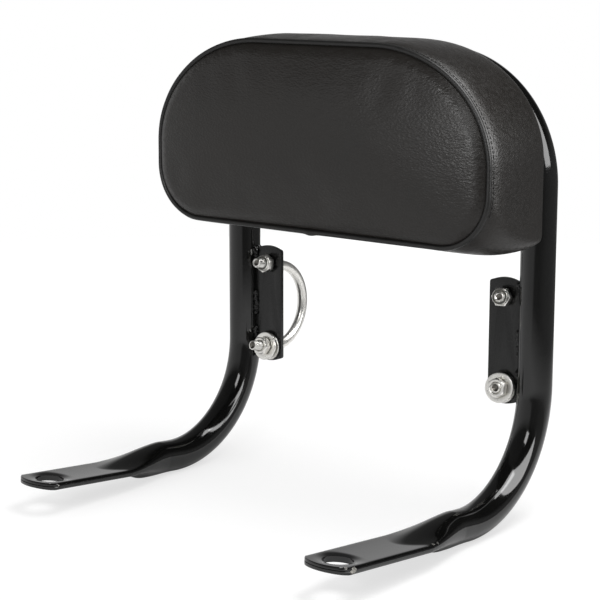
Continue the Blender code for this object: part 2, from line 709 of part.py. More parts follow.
def u_bolt_fastener_meshes():
    bore = ROD_DIAMETER / 2 + GAP
    washer_bore = ROD_DIAMETER / 2 + ROD_HOLE_CLEARANCE
    return {"nut": bored(hex_blank("m8_nut", NUT_ACROSS_FLATS, NUT_HEIGHT), bore, NUT_HEIGHT),
            "lock nut": lock_nut_mesh(bore),
            "lock ring": lock_ring_mesh(bore),
            "washer": washer_mesh("large_washer", LARGE_WASHER_DIAMETER / 2, washer_bore,
                                  LARGE_WASHER_THICKNESS)}


# Pad

def pad_outline(inset, corner=BOTTOM_CORNER_RADIUS, sag=0.0):
    """Front view of the pad as (x, z) points: elliptical top corners, round bottom ones."""
    half = PAD_HALF_WIDTH - inset
    top = PAD_TOP - inset
    bottom = PAD_BOTTOM + inset - sag
    run = TOP_CORNER_RUN - inset
    drop = TOP_CORNER_DROP - inset
    radius = max(corner - inset, LEAST_CORNER_RADIUS)
    points = [(0, top), ((half - run) * 0.5, top)]
    for i in range(11):
        angle = pi / 2 * i / 10
        points.append((half - run + run * sin(angle), top - drop + drop * cos(angle)))
    for i in range(7):
        angle = pi / 2 * i / 6
        points.append((half - radius + radius * cos(angle), bottom + radius - radius * sin(angle)))
    for share in (0.66, 0.33):
        points.append(((half - radius) * share, bottom))
    points.append((0, bottom))
    return points + [(-x, z) for x, z in points[-2:0:-1]]


def pad_row(inset, y, corner=BOTTOM_CORNER_RADIUS, sag=0.0):
    return [(x, y, z) for x, z in pad_outline(inset, corner, sag)]


def boxing_row(inset, share):
    """A ring of the swelling side wall, by its share of the way from the back to the seam."""
    y = BAND_BACK + (BAND_FRONT - BAND_BACK) * share
    arch = 4 * share * (1 - share)
    corner = BACK_CORNER_RADIUS + (BOTTOM_CORNER_RADIUS - BACK_CORNER_RADIUS) * share
    return pad_row(inset - BAND_SWELL * arch, y, corner, BOTTOM_SAG * arch)


def crown_rows(inset, shift=0.0):
    """Rings of the crowned front, from the seam in towards the pad's long middle line."""
    edge = pad_outline(inset)
    middle_z = (PAD_TOP + PAD_BOTTOM) / 2
    line_half = PAD_HALF_WIDTH - PAD_HEIGHT / 2
    rows = []
    for share in (0.0, 0.12, 0.32, 0.60, 0.90):
        y = SEAM_Y + shift - PAD_CROWN * (1 - (1 - share) ** 2.2)
        row = []
        for x, z in edge:
            line_x = min(max(x, -line_half), line_half)
            row.append((x + (line_x - x) * share, y, z + (middle_z - z) * share))
        rows.append(row)
    return rows


def add_shell(part, thickness):
    shell = part.modifiers.new("Sheet thickness", "SOLIDIFY")
    shell.thickness = thickness
    shell.offset = -1
    shell.use_even_offset = True


def build_front_panel():
    panel = loft("pad_front_panel", crown_rows(2 * PIPING_RADIUS + GAP), cap_last=True,
                 towards_front=True)
    add_shell(add_part("pad_front_panel", panel, "leatherette"), COVER_THICKNESS)


def build_side_band():
    """The boxing round the pad: a swelling wall that is turned over the back as a hem."""
    rows = [boxing_row(BAND_INSET, share) for share in (*BOXING_SHARES, 0.0)]
    for i in range(1, 4):
        angle = pi / 2 * i / 3
        rows.append(pad_row(BAND_INSET + BACK_EDGE_RADIUS * (1 - cos(angle)),
                            BAND_BACK + BACK_EDGE_RADIUS * sin(angle), BACK_CORNER_RADIUS))
    rows.append(pad_row(BAND_INSET + BACK_EDGE_RADIUS + HEM_WIDTH, HEM_BACK, BACK_CORNER_RADIUS))
    band = add_part("pad_side_band", loft("pad_side_band", rows), "leatherette")
    add_shell(band, COVER_THICKNESS)


def build_piping():
    curve = bpy.data.curves.new("pad_piping", "CURVE")
    curve.dimensions = "3D"
    curve.bevel_depth = PIPING_RADIUS
    curve.bevel_resolution = 2
    spline = curve.splines.new("POLY")
    row = pad_row(PIPING_RADIUS, SEAM_Y)
    spline.points.add(len(row) - 1)
    for point, place in zip(spline.points, row):
        point.co = (*place, 1)
    spline.use_cyclic_u = True
    add_part("pad_piping", curve, "leatherette_piping")


def build_foam():
    """The foam block, clear of the cover, with pockets for the tee nuts' flanges."""
    inset = BAND_INSET + COVER_THICKNESS + GAP
    back_y = BOARD_FRONT - GAP
    first_share = (BAND_BACK - back_y + COVER_THICKNESS) / (BAND_BACK - BAND_FRONT)
    rows = [pad_row(BOARD_INSET, back_y, BACK_CORNER_RADIUS),
            boxing_row(inset + GAP, first_share)]
    rows += [boxing_row(inset, share) for share in BOXING_SHARES[::-1]]
    rows += crown_rows(2 * PIPING_RADIUS + 2 * GAP, COVER_THICKNESS + 1.6 * GAP)
    block = loft("pad_foam", rows, cap_first=True, cap_last=True, towards_front=True)
    foam = add_part("pad_foam", block, "foam")
    pocket = cylinder("pocket", TEE_NUT_FLANGE_DIAMETER / 2 + GAP,
                      -TEE_NUT_FLANGE_THICKNESS - GAP, BOARD_THICKNESS / 2)
    for name, x, z in tab_bolts():
        add_boolean(foam, add_cutter(name + "_pocket", pocket, (x, back_y, z), (-pi / 2, 0, 0)),
                    "DIFFERENCE")


def build_board():
    holes = [(x, z, TEE_NUT_BARREL_RADIUS + GAP) for name, x, z in tab_bolts()]
    outline = pad_outline(BOARD_INSET, BACK_CORNER_RADIUS)
    curve = plate_curve("pad_board", outline, BOARD_THICKNESS, holes)
    add_part("pad_board", curve, "plywood", (0, (BOARD_BACK + BOARD_FRONT) / 2, 0), (pi / 2, 0, 0))


def build_lining():
    holes = [(x, z, BOLT_DIAMETER / 2 + BOLT_HOLE_CLEARANCE) for name, x, z in tab_bolts()]
    outline = pad_outline(LINING_INSET, BACK_CORNER_RADIUS)
    curve = plate_curve("pad_back_lining", outline, LINING_THICKNESS, holes)
    add_part("pad_back_lining", curve, "lining_cloth",
             (0, LINING_BACK - LINING_THICKNESS / 2, 0), (pi / 2, 0, 0))


# What holds the pad on the arch

def tab_bolts():
    """Name and (x, z) place of each bolt through a tab."""
    upper_x = LEG_X - ARCH_CORNER_RADIUS - UPPER_TAB_INSET
    upper_z = ARCH_HEIGHT - TAB_REACH
    lower_x = LEG_X - TAB_REACH
    lower_z = PAD_BOTTOM + LOWER_TAB_RISE
    return [(f"{level}_{side}", sign * x, z)
            for level, x, z in (("upper", upper_x, upper_z), ("lower", lower_x, lower_z))
            for side, sign in SIDES.items()]


def tongue(length):
    """A tab in its own plane: straight root at +Y, round end about the bolt at the origin."""
    half = TAB_WIDTH / 2
    points = [(half, length), (-half, length)]
    for i in range(9):
        angle = pi + pi * i / 8
        points.append((half * cos(angle), half * sin(angle)))
    return points


def build_tabs(clearance):
    hole = (0, 0, BOLT_DIAMETER / 2 + BOLT_HOLE_CLEARANCE)
    for name, x, z in tab_bolts():
        upper = name.startswith("upper")
        sign = 1 if x > 0 else -1
        node = name + "_pad_tab"
        flat = bpy.data.objects.new(node, plate_curve(node, tongue(TAB_REACH - TAB_ROOT),
                                                      TAB_THICKNESS, [hole]))
        bpy.context.scene.collection.objects.link(flat)
        turn = 0 if upper else sign * pi / 2
        tab = add_part(node, bake(flat), "gloss_black_paint",
                       (x, (TAB_FRONT + TAB_BACK) / 2, z), (pi / 2, turn, 0))
        root = sqrt(TUBE_RADIUS ** 2 - TAB_BACK ** 2)
        bead_y = TAB_BACK - WELD_SINK
        if upper:
            centre = (x, bead_y, ARCH_HEIGHT - root)
        else:
            centre = (sign * (LEG_X - root), bead_y, z)
        bead = weld_bead(name + "_tab_weld", centre, "X" if upper else "Z", TAB_WELD_LENGTH)
        add_boolean(tab, bead, "UNION")
        add_boolean(tab, clearance, "DIFFERENCE")


def spring_washer_mesh():
    """A split ring of square wire, its cut ends standing slightly apart."""
    outer = SPRING_WASHER_DIAMETER / 2
    inner = BOLT_DIAMETER / 2 + GAP
    height = SPRING_WASHER_THICKNESS * 0.82
    lift = SPRING_WASHER_THICKNESS - height
    steps = 14
    rows = []
    for i in range(steps + 1):
        share = i / steps
        angle = SPRING_WASHER_SPLIT / 2 + (2 * pi - SPRING_WASHER_SPLIT) * share
        low = lift * share
        section = ((inner, low), (inner, low + height), (outer, low + height), (outer, low))
        rows.append([(radius * cos(angle), radius * sin(angle), z) for radius, z in section])
    return loft("m6_spring_washer", rows, cap_first=True, cap_last=True)


def bolt_mesh():
    """A hex bolt standing on its head's underside: head up, shank down."""
    radius = BOLT_DIAMETER / 2
    chamfer = ROD_END_CHAMFER
    blank = bpy.data.objects.new("m6_bolt", hex_blank("m6_bolt", BOLT_ACROSS_FLATS,
                                                      BOLT_HEAD_HEIGHT))
    profile = [(0, BOLT_HEAD_HEIGHT / 2), (radius, BOLT_HEAD_HEIGHT / 2),
               (radius, chamfer - BOLT_LENGTH), (radius - chamfer, -BOLT_LENGTH),
               (0, -BOLT_LENGTH)]
    shank = bpy.data.objects.new("shank", turned("shank", profile))
    for item in (blank, shank):
        bpy.context.scene.collection.objects.link(item)
    add_boolean(blank, shank, "UNION")
    mesh = bake(blank, 20)
    bpy.data.objects.remove(shank, do_unlink=True)
    return mesh


def tee_nut_mesh():
    """A tee nut: a thin flange at the top and a barrel below it."""
    bore = BOLT_DIAMETER / 2 + GAP
    barrel = TEE_NUT_BARREL_RADIUS
    flange = TEE_NUT_FLANGE_DIAMETER / 2
    return turned("m6_tee_nut", [(bore, TEE_NUT_FLANGE_THICKNESS),
                                 (flange, TEE_NUT_FLANGE_THICKNESS), (flange, 0), (barrel, 0),
                                 (barrel, -TEE_NUT_BARREL_LENGTH), (bore, -TEE_NUT_BARREL_LENGTH)],
                  closed=True)


def build_pad_fasteners():
    bolt = bolt_mesh()
    spring = spring_washer_mesh()
    plain = washer_mesh("m6_washer", PLAIN_WASHER_DIAMETER / 2, BOLT_DIAMETER / 2 + 2 * GAP,
                        PLAIN_WASHER_THICKNESS)
    tee_nut = tee_nut_mesh()
    washer_y = TAB_BACK + GAP
    spring_y = washer_y + PLAIN_WASHER_THICKNESS + GAP
    head_y = spring_y + SPRING_WASHER_THICKNESS + GAP
    for name, x, z in tab_bolts():
        backward = (-pi / 2, 0, 0)
        add_part(name + "_pad_bolt", bolt, "zinc_plate", (x, head_y, z), backward)
        add_part(name + "_spring_washer", spring, "zinc_plate", (x, spring_y, z), backward)
        add_part(name + "_washer", plain, "zinc_plate", (x, washer_y, z), backward)
        add_part(name + "_tee_nut", tee_nut, "zinc_plate", (x, BOARD_FRONT - GAP, z),
                 (pi / 2, 0, 0))


def stand_on_ground():
    """Move everything so that the base's centre is the origin."""
    bpy.context.view_layer.update()
    depsgraph = bpy.context.evaluated_depsgraph_get()
    low = Vector((1, 1, 1))
    high = -low
    for part in PARTS.objects:
        solid = part.evaluated_get(depsgraph)
        mesh = solid.to_mesh()
        for vertex in mesh.vertices:
            place = solid.matrix_world @ vertex.co
            low = Vector(map(min, low, place))
            high = Vector(map(max, high, place))
        solid.to_mesh_clear()
    DATUM.location = (-(low.x + high.x) / 2, -(low.y + high.y) / 2, -low.z)
    print("pad front to frame tips, size in mm:", [round(1000 * v, 2) for v in high - low])
    print("datum moved by, in mm:", [round(1000 * v, 3) for v in DATUM.location])


clear_scene()
FOOT_FORWARD = Vector((0, -cos(FOOT_RISE), sin(FOOT_RISE)))
FOOT_UP = Vector((0, sin(FOOT_RISE), cos(FOOT_RISE)))
PARTS = new_collection("scooter_backrest")
CUTTERS = new_collection("cutters")
DATUM = bpy.data.objects.new("leg_bend_start", None)
bpy.context.scene.collection.objects.link(DATUM)

build_frame_tube()
CLEARANCE = tube_clearance()
FASTENERS = u_bolt_fastener_meshes()
for SIDE, SIGN in SIDES.items():
    build_clamp_plate(SIDE, SIGN, CLEARANCE)
    MOUNT = u_bolt_mount(SIDE, SIGN)
    build_u_bolt(SIDE, MOUNT)
    build_u_bolt_fasteners(SIDE, SIGN, MOUNT, FASTENERS)
build_front_panel()
build_side_band()
build_piping()
build_foam()
build_board()
build_lining()
build_tabs(CLEARANCE)
build_pad_fasteners()
stand_on_ground()
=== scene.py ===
# Padded scooter backrest: the looks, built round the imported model.
# Sizes in the dictionaries are millimetres in the legs' own frame: the legs' centrelines lie in
# y = 0, the bends start at z = 0, and the pad faces -y. toRow puts them into the model's frame.

from math import acos, cos, pi, radians, sin, sqrt, tan

import bmesh
import bpy
import numpy as np
from mathutils import Matrix, Vector, geometry
from mathutils.bvhtree import BVHTree
from mathutils.noise import noise


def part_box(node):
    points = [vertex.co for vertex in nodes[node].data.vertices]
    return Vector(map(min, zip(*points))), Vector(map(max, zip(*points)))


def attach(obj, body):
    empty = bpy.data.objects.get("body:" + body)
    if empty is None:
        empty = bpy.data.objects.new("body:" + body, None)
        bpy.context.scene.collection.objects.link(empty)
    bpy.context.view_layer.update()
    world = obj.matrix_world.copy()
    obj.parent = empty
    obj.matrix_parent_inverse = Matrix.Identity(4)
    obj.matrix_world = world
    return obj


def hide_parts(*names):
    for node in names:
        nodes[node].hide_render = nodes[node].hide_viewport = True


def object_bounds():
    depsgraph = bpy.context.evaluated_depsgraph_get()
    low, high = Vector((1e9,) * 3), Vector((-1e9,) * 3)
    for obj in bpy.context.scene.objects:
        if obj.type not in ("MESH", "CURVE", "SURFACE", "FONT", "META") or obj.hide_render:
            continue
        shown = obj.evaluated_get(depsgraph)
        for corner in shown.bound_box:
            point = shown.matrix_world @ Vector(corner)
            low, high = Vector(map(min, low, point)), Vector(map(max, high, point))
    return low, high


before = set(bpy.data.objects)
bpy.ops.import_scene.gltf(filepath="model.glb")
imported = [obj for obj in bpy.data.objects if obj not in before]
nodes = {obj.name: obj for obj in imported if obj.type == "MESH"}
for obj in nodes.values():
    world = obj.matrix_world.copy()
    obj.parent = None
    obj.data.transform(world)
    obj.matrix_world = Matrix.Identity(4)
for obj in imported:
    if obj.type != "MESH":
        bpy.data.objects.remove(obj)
cadLow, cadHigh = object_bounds()
mm = 0.001
sides = {"left": -1, "right": 1}

plateMiddleHeight = 29.9        # middle of the clamp plates above the start of the bends
plateLow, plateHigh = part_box("left_clamp_plate")
datum = Vector((0, (plateLow.y + plateHigh.y) / 2,
                (plateLow.z + plateHigh.z) / 2 - plateMiddleHeight * mm))


def toRow(points):
    return np.asarray(points, float) * mm + np.array(datum)


# Meshes

def finishMesh(mesh, sharpAngle=35):
    mesh.shade_smooth()
    mesh.set_sharp_from_angle(angle=radians(sharpAngle))
    return mesh


def addPiece(name, mesh, finish=None, stands=()):
    piece = bpy.data.objects.new(name, mesh)
    bpy.context.scene.collection.objects.link(piece)
    if finish:
        mesh.materials.clear()
        mesh.materials.append(finish)
    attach(piece, "root")
    if stands:
        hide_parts(*stands)
    return piece


def meshFrom(name, points, faces, sharpAngle=35):
    mesh = bpy.data.meshes.new(name)
    mesh.from_pydata([tuple(p) for p in points], [], faces)
    return finishMesh(mesh, sharpAngle)


def gridFaces(rows, columns, closed=True, start=0):
    faces = []
    for i in range(rows - 1):
        for j in range(columns if closed else columns - 1):
            k = (j + 1) % columns
            a = start + i * columns
            faces.append((a + j, a + k, a + columns + k, a + columns + j))
    return faces


def bakeModifiers(piece, sharpAngle=None):
    # the evaluated mesh takes the old one's place, and no modifier is left
    graph = bpy.context.evaluated_depsgraph_get()
    baked = bpy.data.meshes.new_from_object(piece.evaluated_get(graph))
    piece.modifiers.clear()
    piece.data = baked
    if sharpAngle:
        finishMesh(baked, sharpAngle)
    return piece


def looseObject(name, mesh):
    # a helper that is still to be baked or removed
    item = bpy.data.objects.new(name, mesh)
    bpy.context.scene.collection.objects.link(item)
    return item


def takeMesh(item):
    mesh = item.data
    bpy.data.objects.remove(item)
    return mesh


def latheMesh(name, profile, steps=64, closed=True, sharpAngle=35):
    # profile of (radius, height) turned about Z, outside going up
    if closed:
        profile = profile + profile[:1]
    angles = np.linspace(0, 2 * pi, steps, endpoint=False)
    points = [(r * cos(a), r * sin(a), h) for r, h in profile for a in angles]
    mesh = meshFrom(name, points, gridFaces(len(profile), steps), sharpAngle)
    weld(mesh)
    return finishMesh(mesh, sharpAngle)


def turnOutwards(mesh, weldWithin=None):
    bm = bmesh.new()
    bm.from_mesh(mesh)
    if weldWithin:
        bmesh.ops.remove_doubles(bm, verts=bm.verts, dist=weldWithin)
        bmesh.ops.dissolve_degenerate(bm, edges=bm.edges, dist=weldWithin / 2)
    bmesh.ops.recalc_face_normals(bm, faces=bm.faces)
    bm.to_mesh(mesh)
    bm.free()


def weld(mesh, distance=0.002):
    turnOutwards(mesh, distance)


def roundEdges(item, width, segments, angle):
    # rounds every edge that is sharper than this angle in degrees
    bevel = item.modifiers.new("Rounded edge", "BEVEL")
    bevel.width = width
    bevel.segments = segments
    bevel.limit_method = "ANGLE"
    bevel.angle_limit = radians(angle)


def roundAbout(count):
    return 2 * pi * np.arange(count) / count


def settle(mesh, turn, place):
    # from a piece's own millimetres to its place in the model's frame
    mesh.transform(Matrix.Translation(Vector(place)) @ turn.to_4x4())
    mesh.transform(Matrix.Translation(datum) @ Matrix.Diagonal((mm, mm, mm, 1)))
    return mesh


# Nodes

def addNode(tree, kind, inputs=None, **settings):
    node = tree.nodes.new(kind)
    for name, value in settings.items():
        setattr(node, name, value)
    for name, value in (inputs or {}).items():
        if isinstance(value, bpy.types.NodeSocket):
            tree.links.new(value, node.inputs[name])
        else:
            node.inputs[name].default_value = value
    return node


def reckon(tree, operation, *values):
    return addNode(tree, "ShaderNodeMath", dict(enumerate(values)), operation=operation).outputs[0]


def scaled(tree, vector, factor):
    return addNode(tree, "ShaderNodeVectorMath", {0: vector, 3: factor},
                   operation="SCALE").outputs["Vector"]


def ramp(tree, value, low, high, outLow, outHigh):
    return addNode(tree, "ShaderNodeMapRange",
                   {"Value": value, "From Min": low, "From Max": high,
                    "To Min": outLow, "To Max": outHigh}).outputs["Result"]


def newTree(name, inputs):
    tree = bpy.data.node_groups.new(name, "GeometryNodeTree")
    face = tree.interface
    face.new_socket("Geometry", in_out="INPUT", socket_type="NodeSocketGeometry")
    for label, kind in inputs.items():
        face.new_socket(label, in_out="INPUT", socket_type="NodeSocket" + kind)
    face.new_socket("Geometry", in_out="OUTPUT", socket_type="NodeSocketGeometry")
    return tree, addNode(tree, "NodeGroupInput").outputs


def pointsAlong(tree, line, step):
    # points along a mesh of edges, this far apart
    curve = addNode(tree, "GeometryNodeMeshToCurve", {"Mesh": line}).outputs["Curve"]
    return addNode(tree, "GeometryNodeCurveToPoints", {"Curve": curve, "Length": step},
                   mode="LENGTH").outputs


def carried(tree, name, kind):
    # what each point of the mesh carries under this name
    return addNode(tree, "GeometryNodeInputNamedAttribute", {"Name": name},
                   data_type=kind).outputs["Attribute"]


def endTree(tree, shape, finish):
    whole = addNode(tree, "GeometryNodeRealizeInstances", {"Geometry": shape})
    painted = addNode(tree, "GeometryNodeSetMaterial",
                      {"Geometry": whole.outputs["Geometry"], "Material": finish})
    addNode(tree, "NodeGroupOutput", {"Geometry": painted.outputs["Geometry"]})


def runTree(name, mesh, tree, values):
    item = looseObject(name, mesh)
    modifier = item.modifiers.new(name, "NODES")
    modifier.node_group = tree
    for socket in tree.interface.items_tree:
        if socket.in_out == "INPUT" and socket.name in values:
            modifier[socket.identifier] = values[socket.name]
    return takeMesh(bakeModifiers(item))


# Finishes

def objectPattern(tree, kind, scale, stretch=(1, 1, 1), turn=(0, 0, 0), **inputs):
    # a pattern on object coordinates; scale is cells per metre
    place = addNode(tree, "ShaderNodeTexCoord").outputs["Object"]
    mapped = addNode(tree, "ShaderNodeMapping",
                     {"Vector": place, "Scale": stretch, "Rotation": turn})
    return addNode(tree, kind, {"Vector": mapped.outputs["Vector"], "Scale": scale, **inputs})


def mottle(tree, size, detail, roughness=0.5, stretch=(1, 1, 1), turn=(0, 0, 0), distortion=0.0):
    # noise with spots of this size in mm
    return objectPattern(tree, "ShaderNodeTexNoise", 1000 / size, stretch, turn, Detail=detail,
                         Roughness=roughness, Distortion=distortion).outputs["Fac"]


def mixColours(tree, share, first, second):
    node = addNode(tree, "ShaderNodeMix", data_type="RGBA")
    colours = [socket for socket in node.inputs if socket.type == "RGBA"]
    tree.links.new(share, node.inputs["Factor"])
    for socket, colour in zip(colours, (first, second)):
        if isinstance(colour, bpy.types.NodeSocket):
            tree.links.new(colour, socket)
        else:
            socket.default_value = colour
    return [socket for socket in node.outputs if socket.type == "RGBA"][0]


def fromHex(code):
    # an sRGB hex value as the linear colour that the nodes want
    parts = [int(code[i:i + 2], 16) / 255 for i in (1, 3, 5)]
    return (*[c / 12.92 if c <= 0.04045 else ((c + 0.055) / 1.055) ** 2.4 for c in parts], 1)


def newFinish(name, values):
    finish = bpy.data.materials.new(name)
    finish.use_nodes = True
    tree = finish.node_tree
    shader = tree.nodes["Principled BSDF"]
    for label, value in values.items():
        shader.inputs[label].default_value = value
    return finish, tree, shader


def paint(tree, shader, share, first, second):
    # from the first colour to the second one
    blend = mixColours(tree, share, fromHex(first), fromHex(second))
    tree.links.new(blend, shader.inputs["Base Color"])
    return blend


def roughen(tree, shader, share, low, high, smooth, rough):
    amount = ramp(tree, share, low, high, smooth, rough)
    tree.links.new(amount, shader.inputs["Roughness"])
    return amount


def addBump(tree, shader, layers):
    # layers of (height socket, strength, depth in mm)
    normal = None
    for height, strength, depth in layers:
        inputs = {"Height": height, "Strength": strength, "Distance": depth * mm}
        if normal:
            inputs["Normal"] = normal
        normal = addNode(tree, "ShaderNodeBump", inputs).outputs["Normal"]
    tree.links.new(normal, shader.inputs["Normal"])


# chips on the feet as (place in the legs' frame, radius): the tabs' corners and edges, and a scuff
# where the right foot's press zone ends
chipping = {
    "places": (((158.8, -239.2, -71.0), 2.6), ((156.0, -244.0, -69.0), 1.2),
               ((159.0, -221.0, -70.6), 0.9), ((157.6, -145.5, -76.6), 1.7),
               ((156.8, -150.5, -77.2), 1.2), ((-129.0, -235.0, -69.6), 1.2),
               ((-119.4, -229.0, -71.6), 0.7)),
    "grain": 1.8,               # size of the ragged edge's teeth
    "raggedness": 3.0,          # radii that the noise adds to a distance, 1.5 on average
    "bareTo": 2.30,             # in radii, with the noise added
    "enamelFrom": 2.42,
    "depth": 0.15,
}


def chipShare(tree, chips):
    # 1 inside the chips, whose edges are ragged
    ragged = mottle(tree, chipping["grain"], 3.0, 0.65)
    place = addNode(tree, "ShaderNodeTexCoord").outputs["Object"]
    share = None
    for middle, radius in chips:
        gap = addNode(tree, "ShaderNodeVectorMath",
                      {0: place, 1: tuple(toRow(middle))}, operation="DISTANCE")
        far = reckon(tree, "DIVIDE", gap.outputs["Value"], radius * mm)
        torn = reckon(tree, "MULTIPLY_ADD", ragged, chipping["raggedness"], far)
        chip = ramp(tree, torn, chipping["bareTo"], chipping["enamelFrom"], 1.0, 0.0)
        share = reckon(tree, "MAXIMUM", share, chip) if share else chip
    return share


def stoveEnamel(name, gloss, dull, peelDepth, ior, chips=()):
    # stove enamel sprayed on steel: deep gloss with a slight orange peel, and a few dull specks
    # where it is chipped, the steel shows
    finish, tree, shader = newFinish(name, {"IOR": ior})
    peel = mottle(tree, 2.4, 1.5, 0.4)
    runs = mottle(tree, 14, 2.0)
    dust = mottle(tree, 0.9, 2.0, 0.6)
    blend = paint(tree, shader, runs, "#060606", "#0e0e0d")
    rough = roughen(tree, shader, dust, 0.60, 0.80, gloss, dull)
    layers = [(peel, 0.10, peelDepth), (runs, 0.10, peelDepth * 5)]
    if chips:
        share = chipShare(tree, chips)
        bare = mixColours(tree, share, blend, fromHex("#8f8d88"))
        tree.links.new(bare, shader.inputs["Base Color"])
        tree.links.new(share, shader.inputs["Metallic"])
        duller = reckon(tree, "MULTIPLY_ADD", share, 0.3, rough)
        tree.links.new(duller, shader.inputs["Roughness"])
        layers.append((ramp(tree, share, 0.0, 1.0, 1.0, 0.0), 0.6, chipping["depth"]))
    addBump(tree, shader, layers)
    return finish


def croppedSteel():
    # the rod's ends, cropped after plating: bare torn steel, darker and duller than the zinc
    finish, tree, shader = newFinish("croppedBareSteel", {"Metallic": 1.0, "Roughness": 0.42})
    tear = mottle(tree, 0.7, 3.0, stretch=(0.35, 1, 1))
    paint(tree, shader, tear, "#4c4945", "#8d8a84")
    addBump(tree, shader, [(tear, 0.4, 0.12)])
    return finish


def brightZinc():
    # zinc electroplate on turned and rolled steel: pale grey metal, slightly cloudy
    finish, tree, shader = newFinish("brightZincPlate", {"Metallic": 1.0})
    cloud = mottle(tree, 5, 3.0, 0.6)
    grain = mottle(tree, 0.6, 2.0, 0.6)
    paint(tree, shader, cloud, "#e2e1dc", "#f5f3ef")
    roughen(tree, shader, cloud, 0.3, 0.7, 0.25, 0.37)
    addBump(tree, shader, [(grain, 0.10, 0.02)])
    return finish


def embossedLeatherette(name, colours, roughness, grainDepth):
    # vinyl on knitted cloth, embossed with a calf grain: soft sheen broken by fine pebbles
    # the real grain is about 0.8 mm; it is drawn at 1.4 mm so that it shows
    finish, tree, shader = newFinish(name, {"IOR": 1.41})
    turn = (radians(20), radians(35), 0)
    pebbles = objectPattern(tree, "ShaderNodeTexVoronoi", 1000 / 1.4, (0.72, 1, 1.3), turn,
                            Randomness=1.0)
    pebbles.feature = "SMOOTH_F1"
    folds = mottle(tree, 3.2, 3.0, 0.55, (0.45, 1, 1.6), turn, 0.4)
    tone = mottle(tree, 60, 3.0)
    paint(tree, shader, tone, *colours)
    roughen(tree, shader, folds, 0.3, 0.7, roughness - 0.05, roughness + 0.08)
    addBump(tree, shader, [(pebbles.outputs["Distance"], 0.62, grainDepth),
                           (folds, 0.36, grainDepth * 1.2)])
    return finish


def sawnPlywood():
    # birch plywood, sawn: pale with darker grain along its length
    finish, tree, shader = newFinish("sawnBirchPlywood", {"Roughness": 0.75})
    grain = mottle(tree, 3, 4.0, stretch=(0.06, 1, 1))
    paint(tree, shader, grain, "#a98455", "#d8b98a")
    addBump(tree, shader, [(grain, 0.3, 0.15)])
    return finish


def feltedLining():
    # black non-woven lining cloth: matt, with pressed fibres
    finish, tree, shader = newFinish("nonWovenLining", {"Roughness": 0.92, "Sheen Weight": 0.15})
    fibres = mottle(tree, 0.8, 5.0, 0.7, distortion=1.5)
    paint(tree, shader, fibres, "#101011", "#2c2c2d")
    addBump(tree, shader, [(fibres, 0.7, 0.3)])
    return finish


def spunThread():
    # bonded polyester thread: dull black with a slight twist
    finish, tree, shader = newFinish("bondedPolyesterThread", {"Roughness": 0.6})
    twist = objectPattern(tree, "ShaderNodeTexWave", 1000 / 0.6, Distortion=0.0)
    paint(tree, shader, twist.outputs["Fac"], "#0c0c0c", "#202020")
    return finish


def mouldedNylon():
    # natural nylon, moulded: milky grey and waxy
    finish, tree, shader = newFinish("mouldedNylon", {"Roughness": 0.45, "IOR": 1.53})
    cloud = mottle(tree, 1.6, 2.0)
    paint(tree, shader, cloud, "#4e4d49", "#6b6a64")
    addBump(tree, shader, [(cloud, 0.3, 0.1)])
    return finish


enamel = stoveEnamel("stoveEnamelOnSteelTube", 0.08, 0.26, 0.05, 1.50, chipping["places"])
plateEnamel = stoveEnamel("stoveEnamelOnSteelSheet", 0.26, 0.42, 0.10, 1.42)
zinc = brightZinc()
bareSteel = croppedSteel()
leatherette = embossedLeatherette("embossedVinylLeatherette", ("#100e0c", "#181512"), 0.37, 0.30)
# the welt is the cover's vinyl in darker colours: painted shade of the seam it lies in
seamShadedPipingVinyl = embossedLeatherette("vinylPipingPaintedShade", ("#0a0a09", "#0f0e0d"), 0.42, 0.04)
plywood = sawnPlywood()
lining = feltedLining()
thread = spunThread()
nylon = mouldedNylon()
print("finishes made")


# Frame tube: arch, legs, bends and pressed feet in one skin

tube = {
    "diameter": 25.4,
    "wall": 2.6,
    "legSpacing": 277.8,        # between the legs' centrelines
    "archCornerRadius": 84.0,
    "archHeight": 229.1,        # centreline of the arch
    "bendRadius": 82.7,
    "drawIn": {"left": 0.8, "right": 1.6},      # the inner side of a bend is drawn in
    "footRise": 5.5,            # degrees
    "roundLength": 13.0,
    "pressLength": 50.0,
    "pressLag": 22.0,           # the underside rises this much later than the top falls
    "flatLength": {"left": 84.6, "right": 95.6},
    "undersideSag": 1.4,
    "pressTongue": 15.0,        # the middle of the top stays up this much further
    "pressSpread": 1.03,
    "flatTop": 1.0,             # the flat part's top lies this far below the centreline
    "flatDish": 0.4,
    "tipBulge": 6.0,
    "tipCorner": 4.5,
    # lines over the sawn end, as (share of the way from wall to wall, how far it stands out)
    "tipLines": ((0.10, 0.30), (0.22, 0.42), (0.44, 0.42), (0.50, -0.10), (0.56, 0.42),
                 (0.78, 0.42), (0.90, 0.30)),
    "holeDiameter": 21.0,
    "holeSetback": 18.0,
    "rimFlare": 3.0,            # the drill widens by this much at its ends
    "rimBreak": 0.35,
    "dimpleDepth": 1.4,
    "dimpleRadius": 17.0,
    "points": 96,               # round the tube
    "ringStep": 2.4,            # along it, on the arch and legs
    "footStep": 1.1,
}
tubeRadius = tube["diameter"] / 2
legX = tube["legSpacing"] / 2
footRise = radians(tube["footRise"])
bendAngle = pi / 2 + footRise
flatMiddle = -tube["flatTop"] - tube["wall"]
flatWidth = tube["pressSpread"] * (pi / 2 * (tube["diameter"] - tube["wall"]) + tube["wall"])


def ease(value):
    value = np.clip(value, 0, 1)
    return value * value * (3 - 2 * value)


def nearlyStraight(value):
    return (np.clip(value, 0, 1) + ease(value)) / 2


def roundSection(radius, count):
    angles = roundAbout(count)
    return np.stack([radius * np.cos(angles), radius * np.sin(angles)], 1)


